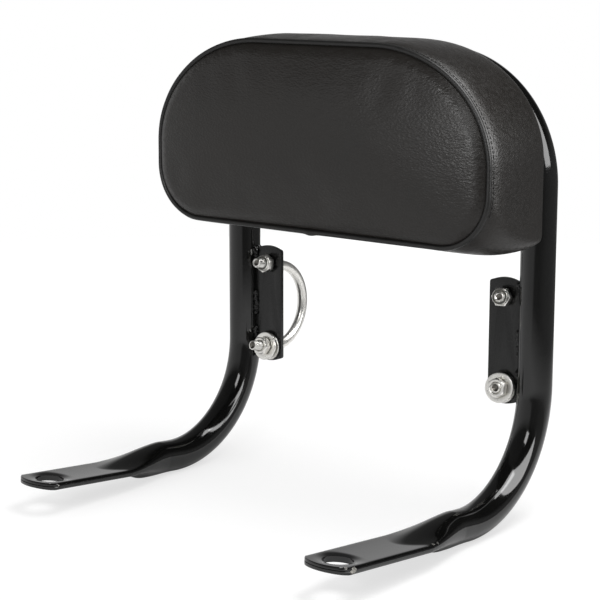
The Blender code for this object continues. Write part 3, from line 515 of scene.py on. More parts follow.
def flatSection(count):
    # two walls pressed together, with round edges
    quarter = count // 4
    edgeSteps = quarter // 3
    half = tube["wall"]
    reach = flatWidth / 2 - half
    corner = []
    for j in range(quarter + 1):
        if j <= edgeSteps:
            angle = pi / 2 * j / edgeSteps
            corner.append((reach + half * cos(angle), half * sin(angle)))
        else:
            share = 1 - (j - edgeSteps) / (quarter - edgeSteps)
            corner.append((reach * share, half - tube["flatDish"] * (1 - share ** 2)))
    upper = corner + [(-x, y) for x, y in corner[-2::-1]]
    lower = [(-x, -min(half, y + tube["flatDish"])) for x, y in upper[1:-1]]
    return np.array(upper + lower)


def footPoint(distance, x, height):
    # distance runs along the foot from the end of the bend
    start = np.array((0, tube["bendRadius"] * (cos(bendAngle) - 1),
                      -tube["bendRadius"] * sin(bendAngle)))
    forward = np.array((0, -cos(footRise), sin(footRise)))
    upward = np.array((0, sin(footRise), cos(footRise)))
    place = start + np.multiply.outer(distance, forward) + np.multiply.outer(height, upward)
    place[..., 0] += x
    return place


def footLength(side):
    return tube["roundLength"] + tube["pressLength"] + tube["flatLength"][side]


def dimple(side, distance, x):
    along = distance - (footLength(side) - tube["holeSetback"])
    share = 1 - np.sqrt(along ** 2 + x ** 2) / tube["dimpleRadius"]
    return tube["dimpleDepth"] * ease(1.6 * share)


def evenSteps(length, step):
    return np.arange(1, int(length / step) + 1) / int(length / step)


def archRings(side):
    # from the middle of the arch down one leg and round its bend
    cornerX = legX - tube["archCornerRadius"]
    cornerZ = tube["archHeight"] - tube["archCornerRadius"]
    section = roundSection(tubeRadius, tube["points"])
    front = np.array((0, -1, 0))
    rings = []

    def ring(centre, outward, front, drawIn=0.0):
        depth = np.where(section[:, 1] > 0, section[:, 1] * (1 - drawIn / tubeRadius), section[:, 1])
        rings.append(centre + np.outer(section[:, 0], outward) + np.outer(depth, front))

    for share in [0, *evenSteps(cornerX, 2 * tube["ringStep"])]:
        ring(np.array((cornerX * share, 0, tube["archHeight"])), np.array((0, 0, 1)), front)
    for share in evenSteps(pi / 2 * tube["archCornerRadius"], tube["ringStep"]):
        angle = pi / 2 * share
        outward = np.array((sin(angle), 0, cos(angle)))
        ring(np.array((cornerX, 0, cornerZ)) + tube["archCornerRadius"] * outward, outward, front)
    for share in evenSteps(cornerZ, 2 * tube["ringStep"]):
        ring(np.array((legX, 0, cornerZ * (1 - share))), np.array((1, 0, 0)), front)
    for share in evenSteps(bendAngle * tube["bendRadius"], tube["ringStep"])[:-1]:
        angle = bendAngle * share
        centre = np.array((legX, tube["bendRadius"] * (cos(angle) - 1),
                           -tube["bendRadius"] * sin(angle)))
        ring(centre, np.array((1, 0, 0)), np.array((0, -cos(angle), sin(angle))),
             tube["drawIn"][side] * ease(3 * share))
    return rings


def footRing(side, distance, flat):
    circle = roundSection(tubeRadius, tube["points"])
    drawn = 1 - tube["drawIn"][side] / tubeRadius
    circle[:, 1] = np.where(circle[:, 1] > 0, circle[:, 1] * drawn, circle[:, 1])
    pressed = distance - tube["roundLength"]
    fall = nearlyStraight(pressed / tube["pressLength"])
    across = np.clip(np.abs(flat[:, 0]) / flatWidth * 2, 0, 1)
    tongue = tube["pressTongue"] * (1 - across ** 2) ** 1.5
    topFall = nearlyStraight(pressed / (tube["pressLength"] + tongue))
    climb = ease((pressed - tube["pressLag"]) / (tube["pressLength"] - tube["pressLag"]))
    sagShare = min(1, distance / (tube["roundLength"] + tube["pressLength"]))
    sag = tube["undersideSag"] * sin(pi * sagShare) ** 2
    low = climb + (fall - climb) * (flat[:, 0] / flatWidth * 2) ** 2
    share = np.where(circle[:, 1] >= 0, topFall, low)
    x = circle[:, 0] + fall * (flat[:, 0] - circle[:, 0])
    height = circle[:, 1] + share * (flat[:, 1] + flatMiddle - circle[:, 1])
    height = np.where(circle[:, 1] > 0, height - dimple(side, distance, flat[:, 0]),
                      height + sag * circle[:, 1] / tubeRadius)
    for _ in range(4):          # takes the knuckle off the pressed section's corners
        x = (np.roll(x, 1) + 2 * x + np.roll(x, -1)) / 4
        height = (np.roll(height, 1) + 2 * height + np.roll(height, -1)) / 4
    return x, height


def tipShape(flatX):
    # how far each point of the cut end is set back: a shallow arc with rounded corners
    share = np.abs(flatX) / (flatWidth / 2)
    return tube["tipBulge"] * share ** 2 + tube["tipCorner"] * share ** 10


def footRings(side):
    flat = flatSection(tube["points"])
    length = footLength(side)
    rings = []
    for share in [0, *evenSteps(length, tube["footStep"])]:
        distance = length * share
        x, height = footRing(side, distance, flat)
        # towards the end the rings take on the arc of the cut
        toTip = ease((distance - length + 60) / 60)
        rings.append(footPoint(distance - toTip * tipShape(flat[:, 0]), legX + x, height))
    return rings


def tipCap(ring):
    # the sawn end between the two walls, with a fine line where they meet
    count = len(ring)
    half = count // 2
    forward = np.array((0, -cos(footRise), sin(footRise)))
    columns = []
    for j in range(1, half):
        upper, lower = ring[j], ring[count - j]
        columns.append([upper + (lower - upper) * share + forward * push
                        for share, push in tube["tipLines"]])
    return columns


def buildTube():
    rights = archRings("right") + footRings("right")
    lefts = [ring * (-1, 1, 1) for ring in archRings("left") + footRings("left")]
    rings = lefts[::-1] + rights[1:]
    count = tube["points"]
    points = [p for ring in rings for p in ring]
    faces = gridFaces(len(rings), count)
    for ring, first, turnOver in ((rings[0], 0, True), (rings[-1], (len(rings) - 1) * count, False)):
        columns = tipCap(ring)
        rowCount = len(columns[0]) + 2
        grid = []
        for j, column in enumerate(columns, 1):
            inner = list(range(len(points), len(points) + len(column)))
            points += column
            grid.append([first + j, *inner, first + count - j])
        caps = [(first, *grid[0]), (first + count // 2, *grid[-1][::-1])]
        for a, b in zip(grid, grid[1:]):
            for k in range(rowCount - 1):
                caps.append((a[k], b[k], b[k + 1], a[k + 1]))
        faces += [face[::-1] for face in caps] if turnOver else caps
    mesh = meshFrom("frame_tube_skin", toRow(points), faces, 40)
    skin = looseObject("tube", mesh)
    radius = tube["holeDiameter"] / 2
    high = tube["wall"] * 2
    flare = tube["rimFlare"]
    profile = [(0.0, -high), (radius + flare, -high), (radius, -high + flare - tube["rimBreak"]),
               (radius, high - flare), (radius + flare, high), (0.0, high)]
    for side, sign in sides.items():
        drill = looseObject(side + "Drill", latheMesh("drill", profile, 72, closed=False))
        place = footPoint(footLength(side) - tube["holeSetback"], sign * legX, flatMiddle)
        settle(drill.data, Matrix.Rotation(-footRise, 3, "X"), place)
        cut = skin.modifiers.new(side + "Hole", "BOOLEAN")
        cut.object = drill
        cut.solver = "EXACT"
    bakeModifiers(skin, 40)
    for side in sides:
        bpy.data.objects.remove(bpy.data.objects[side + "Drill"])
    return addPiece("frame_tube_skin", takeMesh(skin), enamel, ["frame_tube"])


frameTube = buildTube()
print("frame tube:", len(frameTube.data.polygons), "faces")


# Sheet parts: the clamp plates and their welds

def sheetMesh(name, outline, thickness, holes, edge):
    # a flat outline in XY with round holes, as thick as the sheet, edges rounded over
    curve = bpy.data.curves.new(name, "CURVE")
    curve.dimensions = "2D"
    curve.fill_mode = "BOTH"
    curve.extrude = thickness / 2
    loops = [outline]
    for x, y, radius in holes:
        loops.append([(x + radius * cos(a), y + radius * sin(a))
                      for a in np.linspace(0, 2 * pi, 40, endpoint=False)])
    for loop in loops:
        spline = curve.splines.new("POLY")
        spline.points.add(len(loop) - 1)
        for point, (x, y) in zip(spline.points, loop):
            point.co = (x, y, 0, 1)
        spline.use_cyclic_u = True
    flat = looseObject(name, curve)
    graph = bpy.context.evaluated_depsgraph_get()
    mesh = bpy.data.meshes.new_from_object(flat.evaluated_get(graph))
    bpy.data.objects.remove(flat)
    weld(mesh)
    sheet = looseObject(name, mesh)
    roundEdges(sheet, edge, 3, 50)
    return takeMesh(bakeModifiers(sheet, 30))


def weldTree():
    # lumps along a line, melted into one bead
    tree, given = newTree("Weld bead", {
        "Spacing": "Float", "Radius": "Float", "Unevenness": "Float", "Seed": "Int",
        "Grain": "Float", "Finish": "Material"})
    points = pointsAlong(tree, given["Geometry"], given["Spacing"])
    shift = scaled(tree, (1, 1, 1), given["Unevenness"])
    jitter = addNode(tree, "FunctionNodeRandomValue",
                     {"Min": scaled(tree, shift, -1.0), "Max": shift, "Seed": given["Seed"]},
                     data_type="FLOAT_VECTOR")
    moved = addNode(tree, "GeometryNodeSetPosition",
                    {"Geometry": points["Points"], "Offset": jitter.outputs[0]})
    lump = addNode(tree, "GeometryNodeMeshIcoSphere",
                   {"Radius": given["Radius"], "Subdivisions": 3})
    size = addNode(tree, "FunctionNodeRandomValue",
                   {2: 0.72, 3: 1.12, "Seed": given["Seed"]}, data_type="FLOAT")
    placed = addNode(tree, "GeometryNodeInstanceOnPoints",
                     {"Points": moved.outputs["Geometry"], "Instance": lump.outputs["Mesh"],
                      "Scale": size.outputs[1]})
    whole = addNode(tree, "GeometryNodeRealizeInstances", {"Geometry": placed.outputs["Instances"]})
    mass = addNode(tree, "GeometryNodeMeshToVolume",
                   {"Mesh": whole.outputs["Geometry"], "Voxel Size": given["Grain"]},
                   resolution_mode="VOXEL_SIZE")
    skin = addNode(tree, "GeometryNodeVolumeToMesh",
                   {"Volume": mass.outputs["Volume"], "Voxel Size": given["Grain"],
                    "Threshold": 0.1}, resolution_mode="VOXEL_SIZE")
    smooth = addNode(tree, "GeometryNodeSetShadeSmooth", {"Geometry": skin.outputs["Mesh"]})
    endTree(tree, smooth.outputs["Geometry"], given["Finish"])
    return tree


beads = {
    "spacing": 1.3,
    "radius": 2.5,
    "unevenness": 0.8,
    "grain": 0.28,      # size of the skin's facets
}
beadTree = weldTree()


def weldBead(name, start, end, seed):
    # start and end in the legs' frame
    steps = 12
    line = [Vector(start).lerp(Vector(end), i / steps) for i in range(steps + 1)]
    mesh = bpy.data.meshes.new(name)
    mesh.from_pydata([tuple(p) for p in line], [(i, i + 1) for i in range(steps)], [])
    bead = runTree(name, mesh, beadTree, {
        "Spacing": beads["spacing"], "Radius": beads["radius"], "Unevenness": beads["unevenness"],
        "Seed": seed, "Grain": beads["grain"], "Finish": plateEnamel})
    settle(bead, Matrix.Identity(3), (0, 0, 0))
    return bead


def joinMeshes(name, meshes):
    bm = bmesh.new()
    for mesh in meshes:
        bm.from_mesh(mesh)
    joined = bpy.data.meshes.new(name)
    bm.to_mesh(joined)
    bm.free()
    return joined


plate = {
    "thickness": 3.0,
    "width": 27.2,              # from the side of the tube
    "endMargin": 13.2,          # past half the pitch of the holes
    "endBulge": 2.4,
    "corner": 2.2,
    "edge": 0.45,
    "holePitch": 67.6,
    "holeDrop": 1.8,            # middle of the holes below the plate's middle
    "boltOffset": 14.2,         # bolt centre from the side of the tube
    "hole": 9.8,
    # welds as (height from the plate's middle, length), the long middle one first
    "welds": ((0.0, 20.0), (41.5, 9.0), (-25.0, 10.0)),
}
boltX = legX - tubeRadius - plate["boltOffset"]


def roundedEnd(halfWidth, height, bulge, corner):
    # the upper end of a sheared plate, from right to left
    points = []
    for angle in np.linspace(0, pi / 2, 7):
        points.append((halfWidth - corner * (1 - cos(angle)),
                       height - bulge - corner * (1 - sin(angle))))
    reach = halfWidth - corner
    for share in np.linspace(1, -1, 17)[1:-1]:
        points.append((reach * share, height - bulge * share ** 2))
    return points + [(-x, y) for x, y in points[6::-1]]


def buildPlate(side, sign):
    halfWidth = plate["width"] / 2
    halfLength = plate["holePitch"] / 2 + plate["endMargin"]
    upper = roundedEnd(halfWidth, halfLength, plate["endBulge"], plate["corner"])
    outline = upper + [(-x, -y) for x, y in upper]
    middleX = legX - tubeRadius - halfWidth + 0.3
    holes = [(sign * (boltX - middleX), end * plate["holePitch"] / 2 - plate["holeDrop"],
              plate["hole"] / 2) for end in (1, -1)]
    flat = sheetMesh("plate", outline, plate["thickness"], holes, plate["edge"])
    settle(flat, Matrix.Rotation(pi / 2, 3, "X"), (sign * middleX, 0, plateMiddleHeight))
    meshes = [flat]
    edgeX = sign * (legX - tubeRadius - 0.5)
    for number, (height, length) in enumerate(plate["welds"]):
        for faceY in (-1, 1):
            y = faceY * plate["thickness"] / 2
            z = plateMiddleHeight + height
            meshes.append(weldBead("bead", (edgeX, y, z - length / 2 + 1.5),
                                   (edgeX, y, z + length / 2 - 1.5), 7 * number + faceY + 3))
    mesh = joinMeshes(side + "_plate_with_welds", meshes)
    return addPiece(mesh.name, finishMesh(mesh), plateEnamel, [side + "_clamp_plate"])


for side, sign in sides.items():
    buildPlate(side, sign)
print("clamp plates and their welds")


# U-bolts, nuts and washers

uBolt = {
    "rod": 8.0,
    "backOfBow": {"left": 8.0, "right": 12.0},      # start of the bow behind the plate
    "tilt": {"left": 11.0, "right": 11.0},          # degrees: the loose bows hang down
    "turn": {"left": 0.0, "right": 10.0},           # and the right one is turned outwards
    "projection": {"left": {"upper": 6.8, "lower": 8.4}, "right": {"upper": 1.0, "lower": 0.4}},
    "pitch": 1.25,
    "threadDepth": 0.55,
    "threadLength": 26.0,
    "points": 40,
    # the tip's rings as (distance from the end, share of the rod's radius)
    "tip": ((0.0, 0.86), (0.25, 0.93), (0.6, 1.0)),
    "dish": 1.3,                # depth of the cropped end's hollow
    # and its rings as (share of the rod's radius, share of the depth)
    "dishRings": ((0.80, -0.10), (0.66, 0.30), (0.40, 0.75), (0.16, 0.95)),
    "gap": 0.3,
}
nuts = {
    "flats": 13.0,
    "height": {"upper": 7.8, "lower": 6.5},
    "turn": {"left": {"upper": 0, "lower": 30}, "right": {"upper": 30, "lower": 0}},
    "boreRoom": 0.2,
    "collarRadius": 6.1,        # the upper ones are lock nuts, rolled over a nylon ring
    "collarHeight": 2.2,
    "collarWall": 0.6,
    "ringSink": 0.6,
    "worn": 0.16,               # the edges' rounding
    "columns": 96,              # points round a nut
}
bigWasher = {
    "diameter": 22.4,
    "thickness": 1.6,
    "bore": 9.8,
}
ends = {"upper": 1, "lower": -1}


def hang(side):
    # how a loose U-bolt lies in its plate's holes
    tilt, turn = radians(uBolt["tilt"][side]), radians(uBolt["turn"][side])
    return Matrix.Rotation(turn, 3, "Z") @ Matrix.Rotation(-tilt, 3, "X")


def holeMiddle(side):
    return Vector((sides[side] * boltX, 0, plateMiddleHeight - plate["holeDrop"]))


def legHalf(side):
    return plate["holePitch"] / 2 * cos(radians(uBolt["tilt"][side]))


def alongLeg(side, level, distance):
    # y in the U-bolt's own frame, from the distance in front of the plate's middle
    return -ends[level] * legHalf(side) * tan(radians(uBolt["tilt"][side])) - distance


def onLeg(side, level, distance):
    place = Vector((0, alongLeg(side, level, distance), ends[level] * legHalf(side)))
    return holeMiddle(side) + hang(side) @ place


def nutSeat(side, level):
    # the upper nut leans on the plate, the lower one lies on the front washer
    lean = acos(cos(radians(uBolt["tilt"][side])) * cos(radians(uBolt["turn"][side])))
    if level == "upper":
        return (plate["thickness"] / 2 + uBolt["gap"]) / cos(lean) + nuts["flats"] / 2 * tan(lean)
    return washerSeat(side) + bigWasher["thickness"] + uBolt["gap"]


def washerSeat(side):
    # the front washer leans on the rear one, which lies flat on the plate
    lean = acos(cos(radians(uBolt["tilt"][side])) * cos(radians(uBolt["turn"][side])))
    flatStack = plate["thickness"] / 2 + bigWasher["thickness"] + 2 * uBolt["gap"]
    return flatStack / cos(lean) + bigWasher["diameter"] / 2 * tan(lean)


def threadTree():
    # sinks a helical groove into a rod that carries its turn and its distance from the tip
    tree, given = newTree("Cut thread", {"Pitch": "Float", "Depth": "Float", "Length": "Float",
                                         "Finish": "Material"})
    along = carried(tree, "along", "FLOAT")
    climb = reckon(tree, "DIVIDE", along, given["Pitch"])
    phase = reckon(tree, "ADD", climb, carried(tree, "turn", "FLOAT"))
    groove = reckon(tree, "MULTIPLY", reckon(tree, "PINGPONG", phase, 0.5), 2.0)
    depth = reckon(tree, "MULTIPLY", groove, given["Depth"])
    fade = reckon(tree, "MINIMUM", ramp(tree, along, given["Length"], 0.0, 0.0, 8.0), 1.0)
    inward = reckon(tree, "MULTIPLY", reckon(tree, "MULTIPLY", depth, fade), -1.0)
    offset = scaled(tree, carried(tree, "outward", "FLOAT_VECTOR"), inward)
    cut = addNode(tree, "GeometryNodeSetPosition",
                  {"Geometry": given["Geometry"], "Offset": offset})
    endTree(tree, cut.outputs["Geometry"], given["Finish"])
    return tree


def rodPath(side):
    # centre, distance from the nearer tip, and size, from the upper tip to the lower one
    back = uBolt["backOfBow"][side]
    half = legHalf(side)
    stations = []
    for level, end in ends.items():
        reach = nutSeat(side, level) + nuts["height"][level] + uBolt["projection"][side][level]
        tip = alongLeg(side, level, reach)
        length = back - tip
        fine = int(min(length, uBolt["threadLength"]) / (uBolt["pitch"] / 10))
        leg = list(uBolt["tip"])
        leg += [(d, 1.0) for d in np.linspace(0.75, uBolt["threadLength"], fine) if d < length]
        leg.append((length, 1.0))
        leg = [((0, tip + d, end * half), d, size) for d, size in leg]
        if end > 0:
            stations += leg
            for angle in np.linspace(pi / 2, -pi / 2, 49)[1:-1]:
                stations.append(((0, back + half * cos(angle), half * sin(angle)), 99.0, 1.0))
        else:
            stations += leg[::-1]
    return stations


def buildUBolt(side, tree):
    stations = rodPath(side)
    count = uBolt["points"]
    centres = np.array([place for place, _, _ in stations])
    tangents = np.gradient(centres, axis=0)
    tangents /= np.linalg.norm(tangents, axis=1)[:, None]
    across = np.array((1.0, 0, 0))
    angles = roundAbout(count)
    points, outwards, turns, alongs = [], [], [], []
    for (place, along, size), tangent in zip(stations, tangents):
        second = np.cross(tangent, across)
        outward = np.outer(np.cos(angles), across) + np.outer(np.sin(angles), second)
        points.append(np.array(place) + outward * uBolt["rod"] / 2 * size)
        outwards.append(outward)
        turns.append(angles / (2 * pi))
        alongs.append(np.full(count, along))
    faces = gridFaces(len(stations), count)
    # cropped, slightly hollow ends
    total = len(stations) * count
    extra = []
    for first, centre, tangent, turnOver in (
            (0, centres[0], tangents[0], True),
            ((len(stations) - 1) * count, centres[-1], -tangents[-1], False)):
        previous = list(range(first, first + count))
        for share, sink in uBolt["dishRings"]:
            ring = centre + (np.array(points[0 if turnOver else -1]) - centre) * share
            ring = ring + tangent * uBolt["dish"] * sink
            current = list(range(total, total + count))
            total += count
            extra.append(ring)
            for j in range(count):
                k = (j + 1) % count
                face = (previous[j], previous[k], current[k], current[j])
                faces.append(face[::-1] if turnOver else face)
            previous = current
        faces.append(previous[::-1] if turnOver else previous)
    flat = np.concatenate(points + extra)
    spare = len(extra) * count
    mesh = meshFrom(side + "_u_bolt_rod", flat, faces)
    for label, kind, values in (("turn", "FLOAT", np.concatenate(turns)),
                                ("along", "FLOAT", np.concatenate(alongs))):
        attribute = mesh.attributes.new(label, kind, "POINT")
        filled = np.concatenate([values, np.full(spare, 99.0 if label == "along" else 0.0)])
        attribute.data.foreach_set("value", filled.astype(np.float32))
    attribute = mesh.attributes.new("outward", "FLOAT_VECTOR", "POINT")
    filled = np.concatenate([*outwards, np.zeros((spare, 3))])
    attribute.data.foreach_set("vector", filled.astype(np.float32).ravel())
    mesh = runTree(mesh.name, mesh, tree, {
        "Pitch": uBolt["pitch"], "Depth": uBolt["threadDepth"],
        "Length": uBolt["threadLength"], "Finish": zinc})
    turnOutwards(mesh)
    # the hollow of each end shows bare steel
    hollow = [face.index for face in mesh.polygons
              if min(face.vertices) >= (len(stations) + 1) * count]
    settle(mesh, hang(side), holeMiddle(side))
    rod = addPiece(side + "_u_bolt_rod", finishMesh(mesh, 50), zinc,
                   [side + "_u_bolt"])
    mesh.materials.append(bareSteel)
    for index in hollow:
        mesh.polygons[index].material_index = 1
    return rod


def chamferedHexagon(face, height, shares):
    # the hexagon's rim under a 30 degree cone, as (radius, height) rows going outwards
    angles = roundAbout(nuts["columns"])
    hexagon = nuts["flats"] / 2 / np.cos((angles + pi / 6) % (pi / 3) - pi / 6)
    radii = [face + (hexagon - face) * share for share in shares]
    return [(radius, height - (radius - face) * tan(radians(30))) for radius in radii]


def nutMesh(name, level):
    # rows run from the middle of the bore over the front and back to the bore
    bore = uBolt["rod"] / 2 + nuts["boreRoom"]
    face = nuts["flats"] / 2 * 0.94
    height = nuts["height"][level]
    if level == "upper":
        collar = nuts["collarRadius"]
        room = collar - nuts["collarWall"]
        shoulder = height - nuts["collarHeight"]
        rows = [(bore, shoulder / 2), (bore, shoulder - 0.3), (room, shoulder - 0.3),
                (room, height - 0.25), (room + 0.12, height - 0.04), (collar - 0.38, height),
                (collar - 0.12, height - 0.22), (collar, height - 0.75), (collar, shoulder + 0.1)]
        rows += chamferedHexagon(face, shoulder, (0.0, 0.33, 0.66, 1.0))
    else:
        rows = [(bore, height / 2), (bore, height - 0.6), (bore + 0.6, height)]
        rows += chamferedHexagon(face, height, (0.0, 0.33, 0.66, 1.0))
    rows += [(radius, -h) for radius, h in chamferedHexagon(face, 0.0, (1.0, 0.5, 0.0))]
    rows += [(bore + 0.6, 0.0), (bore, 0.6), (bore, height / 2 if level == "lower" else shoulder / 2)]
    columns = nuts["columns"]
    angles = roundAbout(columns)
    points = [(r * cos(a), r * sin(a), h)
              for radii, heights in rows
              for r, h, a in zip(np.broadcast_to(radii, columns),
                                 np.broadcast_to(heights, columns), angles)]
    mesh = meshFrom(name, points, [f[::-1] for f in gridFaces(len(rows), columns)], 25)
    weld(mesh, 0.03)
    blank = looseObject(name, finishMesh(mesh, 25))
    roundEdges(blank, nuts["worn"], 2, 24)
    return takeMesh(bakeModifiers(blank, 40))


def washerMesh(name, outer, bore, thickness):
    # stamped: a rolled upper edge, a sharper lower one
    top, low = thickness, 0.0
    roll = thickness * 0.35
    profile = [(bore / 2, top - roll / 2), (bore / 2 + roll / 2, top)]
    for angle in np.linspace(pi / 2, 0, 5):
        profile.append((outer / 2 - roll + roll * cos(angle), top - roll + roll * sin(angle)))
    profile += [(outer / 2, low + 0.12), (outer / 2 - 0.12, low), (bore / 2 + 0.12, low),
                (bore / 2, low + 0.12)]
    return latheMesh(name, profile, 72, sharpAngle=50)


def ringMesh(name):
    # the nylon ring, pressed up round the stud as it is screwed through
    bore = uBolt["rod"] / 2 + nuts["boreRoom"]
    outer = nuts["collarRadius"] - nuts["collarWall"] - 0.15
    top = nuts["height"]["upper"] - nuts["ringSink"]
    low = nuts["height"]["upper"] - nuts["collarHeight"]
    profile = [(bore, low), (bore, top - 0.1), (bore + 0.25, top), (outer - 0.35, top - 0.12),
               (outer, top - 0.4), (outer, low)]
    return latheMesh(name, profile, 72)


def buildUBoltFasteners(side):
    forward = Matrix.Rotation(pi / 2, 3, "X")
    for level in ends:
        name = f"{side}_{level}_nut"
        turn = Matrix.Rotation(radians(nuts["turn"][side][level]), 3, "Z")
        nut = settle(nutMesh(name, level), hang(side) @ forward @ turn,
                     onLeg(side, level, nutSeat(side, level)))
        addPiece(name + "_bright", nut, zinc, [name])
    name = side + "_upper_lock_ring"
    ring = settle(ringMesh(name), hang(side) @ forward, onLeg(side, "upper", nutSeat(side, "upper")))
    addPiece(name + "_moulded", ring, nylon, [name])
    # the front washer hangs with the U-bolt, the rear one lies flat where the leg passes through
    middle = plate["thickness"] / 2 + uBolt["gap"] + bigWasher["thickness"] / 2
    direction = hang(side) @ Vector((0, -1, 0))
    flatPlace = onLeg(side, "lower", 0) + direction * (middle / -direction.y)
    flatPlace.y += bigWasher["thickness"] / 2
    for layer, turn, place in (("front", hang(side) @ forward, onLeg(side, "lower", washerSeat(side))),
                               ("rear", forward, flatPlace)):
        name = f"{side}_{layer}_large_washer"
        washer = washerMesh(name, bigWasher["diameter"], bigWasher["bore"], bigWasher["thickness"])
        addPiece(name + "_bright", settle(washer, turn, place), zinc, [name])


threadCutter = threadTree()
for side in sides:
    buildUBolt(side, threadCutter)
    buildUBoltFasteners(side)
print("U-bolts, nuts and washers")


# Pad cover

pad = {
    "halfWidth": 154.0,
    "top": 247.9,
    "height": 142.2,
    "topCornerRun": 100.0,      # the top corners are quarters of an ellipse
    "topCornerDrop": 83.0,
    "frontCornerRadius": 43.0,  # lower corners at the seam
    "backCornerRadius": 5.0,    # and at the back
    "seam": -84.5,              # y of the piping's centre
    "pipingRadius": 2.4,
    "weltRadius": 2.0,          # what shows of the welt, drawn into the seam
    "weltSink": 0.6,
    "weltSway": 0.3,            # it runs a little unevenly, in waves of this length
    "swayLength": 24,
    "joinX": -2.0,              # where the welt's ends overlap, under the pad
    "joinSwell": 0.24,
    "joinLength": 4,
    "crown": 8.0,               # the front panel's swell, before it is blown up
    "crownReach": 26.0,         # how far in from the seam it rises
    "edgeRoll": 4.6,            # and how far it rolls over the welt at once
    "rollReach": 2.2,
    "behindWelt": 2.6,          # the cover's seam lies this far behind the welt's middle
    "bandTuck": 3.2,            # and the band starts this far inside its outline
    "bottomSag": 3.0,           # the band hangs a little under the pad
    "bandInset": 1.5,
    "bandSwell": 1.6,
    "backEdgeRadius": 5.0,
    "hemBack": -14.1,
    "hemWidth": 10.5,
    "coverThickness": 1.2,
    "seamPoints": 244,          # points of the cover's mesh along its seam
    "seamRows": (1.4, 3.2, 5.8),        # the first rows of points inside the seam follow it
    "spacing": 3.6,             # of the points in the rest of the front panel
    "bandRows": 19,
    # Blender's names for the cloth's settings
    "cloth": {"quality": 6, "mass": 0.35, "tension_stiffness": 40, "compression_stiffness": 40,
              "shear_stiffness": 20, "bending_stiffness": 12, "air_damping": 8},
    "clothFrames": 20,
    "pressure": 4.0,
    "looseness": 0.004,         # the cover is cut this much larger than the foam
    "moveCap": 7.0,
    "calming": 12,              # rounds of evening out the creases
}


def padOutline(inset, cornerRadius, count, sag=0.0):
    # (x, z) points clockwise from the top's middle, evenly spaced
    half = pad["halfWidth"] - inset
    top = pad["top"] - inset
    bottom = pad["top"] - pad["height"] + inset - sag
    run = pad["topCornerRun"] - inset
    radius = max(cornerRadius - inset, 1.0)
    drop = pad["topCornerDrop"] - inset
    line = [(0, top)]
    for angle in np.linspace(0, pi / 2, 60):
        line.append((half - run + run * sin(angle), top - drop + drop * cos(angle)))
    for angle in np.linspace(0, pi / 2, 40):
        line.append((half - radius + radius * cos(angle), bottom + radius - radius * sin(angle)))
    line.append((0, bottom))
    line = line + [(-x, z) for x, z in line[-2::-1]]
    line = np.array(line)
    lengths = np.concatenate([[0], np.cumsum(np.linalg.norm(np.diff(line, axis=0), axis=1))])
    wanted = np.linspace(0, lengths[-1], count, endpoint=False)
    return np.stack([np.interp(wanted, lengths, line[:, 0]),
                     np.interp(wanted, lengths, line[:, 1])], 1)


def softDistance(points, outline, softness=5.0):
    # distance to the outline, smoothed along the pad's middle
    gaps = np.linalg.norm(points[:, None, :] - outline[None, :, :], axis=2)
    weights = np.exp(-(gaps - gaps.min(1, keepdims=True)) / softness)
    return (gaps * weights).sum(1) / weights.sum(1)


def frontPanel(seamLines):
    # an even field of triangles inside the rows that follow the seam
    step = pad["spacing"]
    seamLine = seamLines[-1]
    lows, highs = seamLine.min(0), seamLine.max(0)
    field = []
    for row, z in enumerate(np.arange(lows[1] + step, highs[1], step * sqrt(3) / 2)):
        for x in np.arange(lows[0] + step / 2 * (row % 2), highs[0], step):
            field.append((x, z))
    field = np.array(field)
    closed = np.concatenate([seamLine, seamLine[:1]])
    inside = np.zeros(len(field), bool)
    for (ax, az), (bx, bz) in zip(closed, closed[1:]):
        crosses = (az > field[:, 1]) != (bz > field[:, 1])
        at = ax + (field[:, 1] - az) / (bz - az + 1e-12) * (bx - ax)
        inside ^= crosses & (field[:, 0] < at)
    field = field[inside]
    gaps = np.linalg.norm(field[:, None, :] - seamLine[None, :, :], axis=2).min(1)
    field = field[gaps > step * 0.62]
    every = [Vector(p) for p in np.concatenate([*seamLines, field])]
    count = len(seamLine)
    edges = [(row * count + j, row * count + (j + 1) % count)
             for row in range(len(seamLines)) for j in range(count)]
    found = geometry.delaunay_2d_cdt(every, edges, [list(range(count))], 1, 1e-5)
    return np.array([tuple(p) for p in found[0]]), [tuple(f) for f in found[2]]


def faceTurn(flat, face):
    a, b, c = (flat[i] for i in face[:3])
    return (b[0] - a[0]) * (c[1] - a[1]) - (b[1] - a[1]) * (c[0] - a[0])


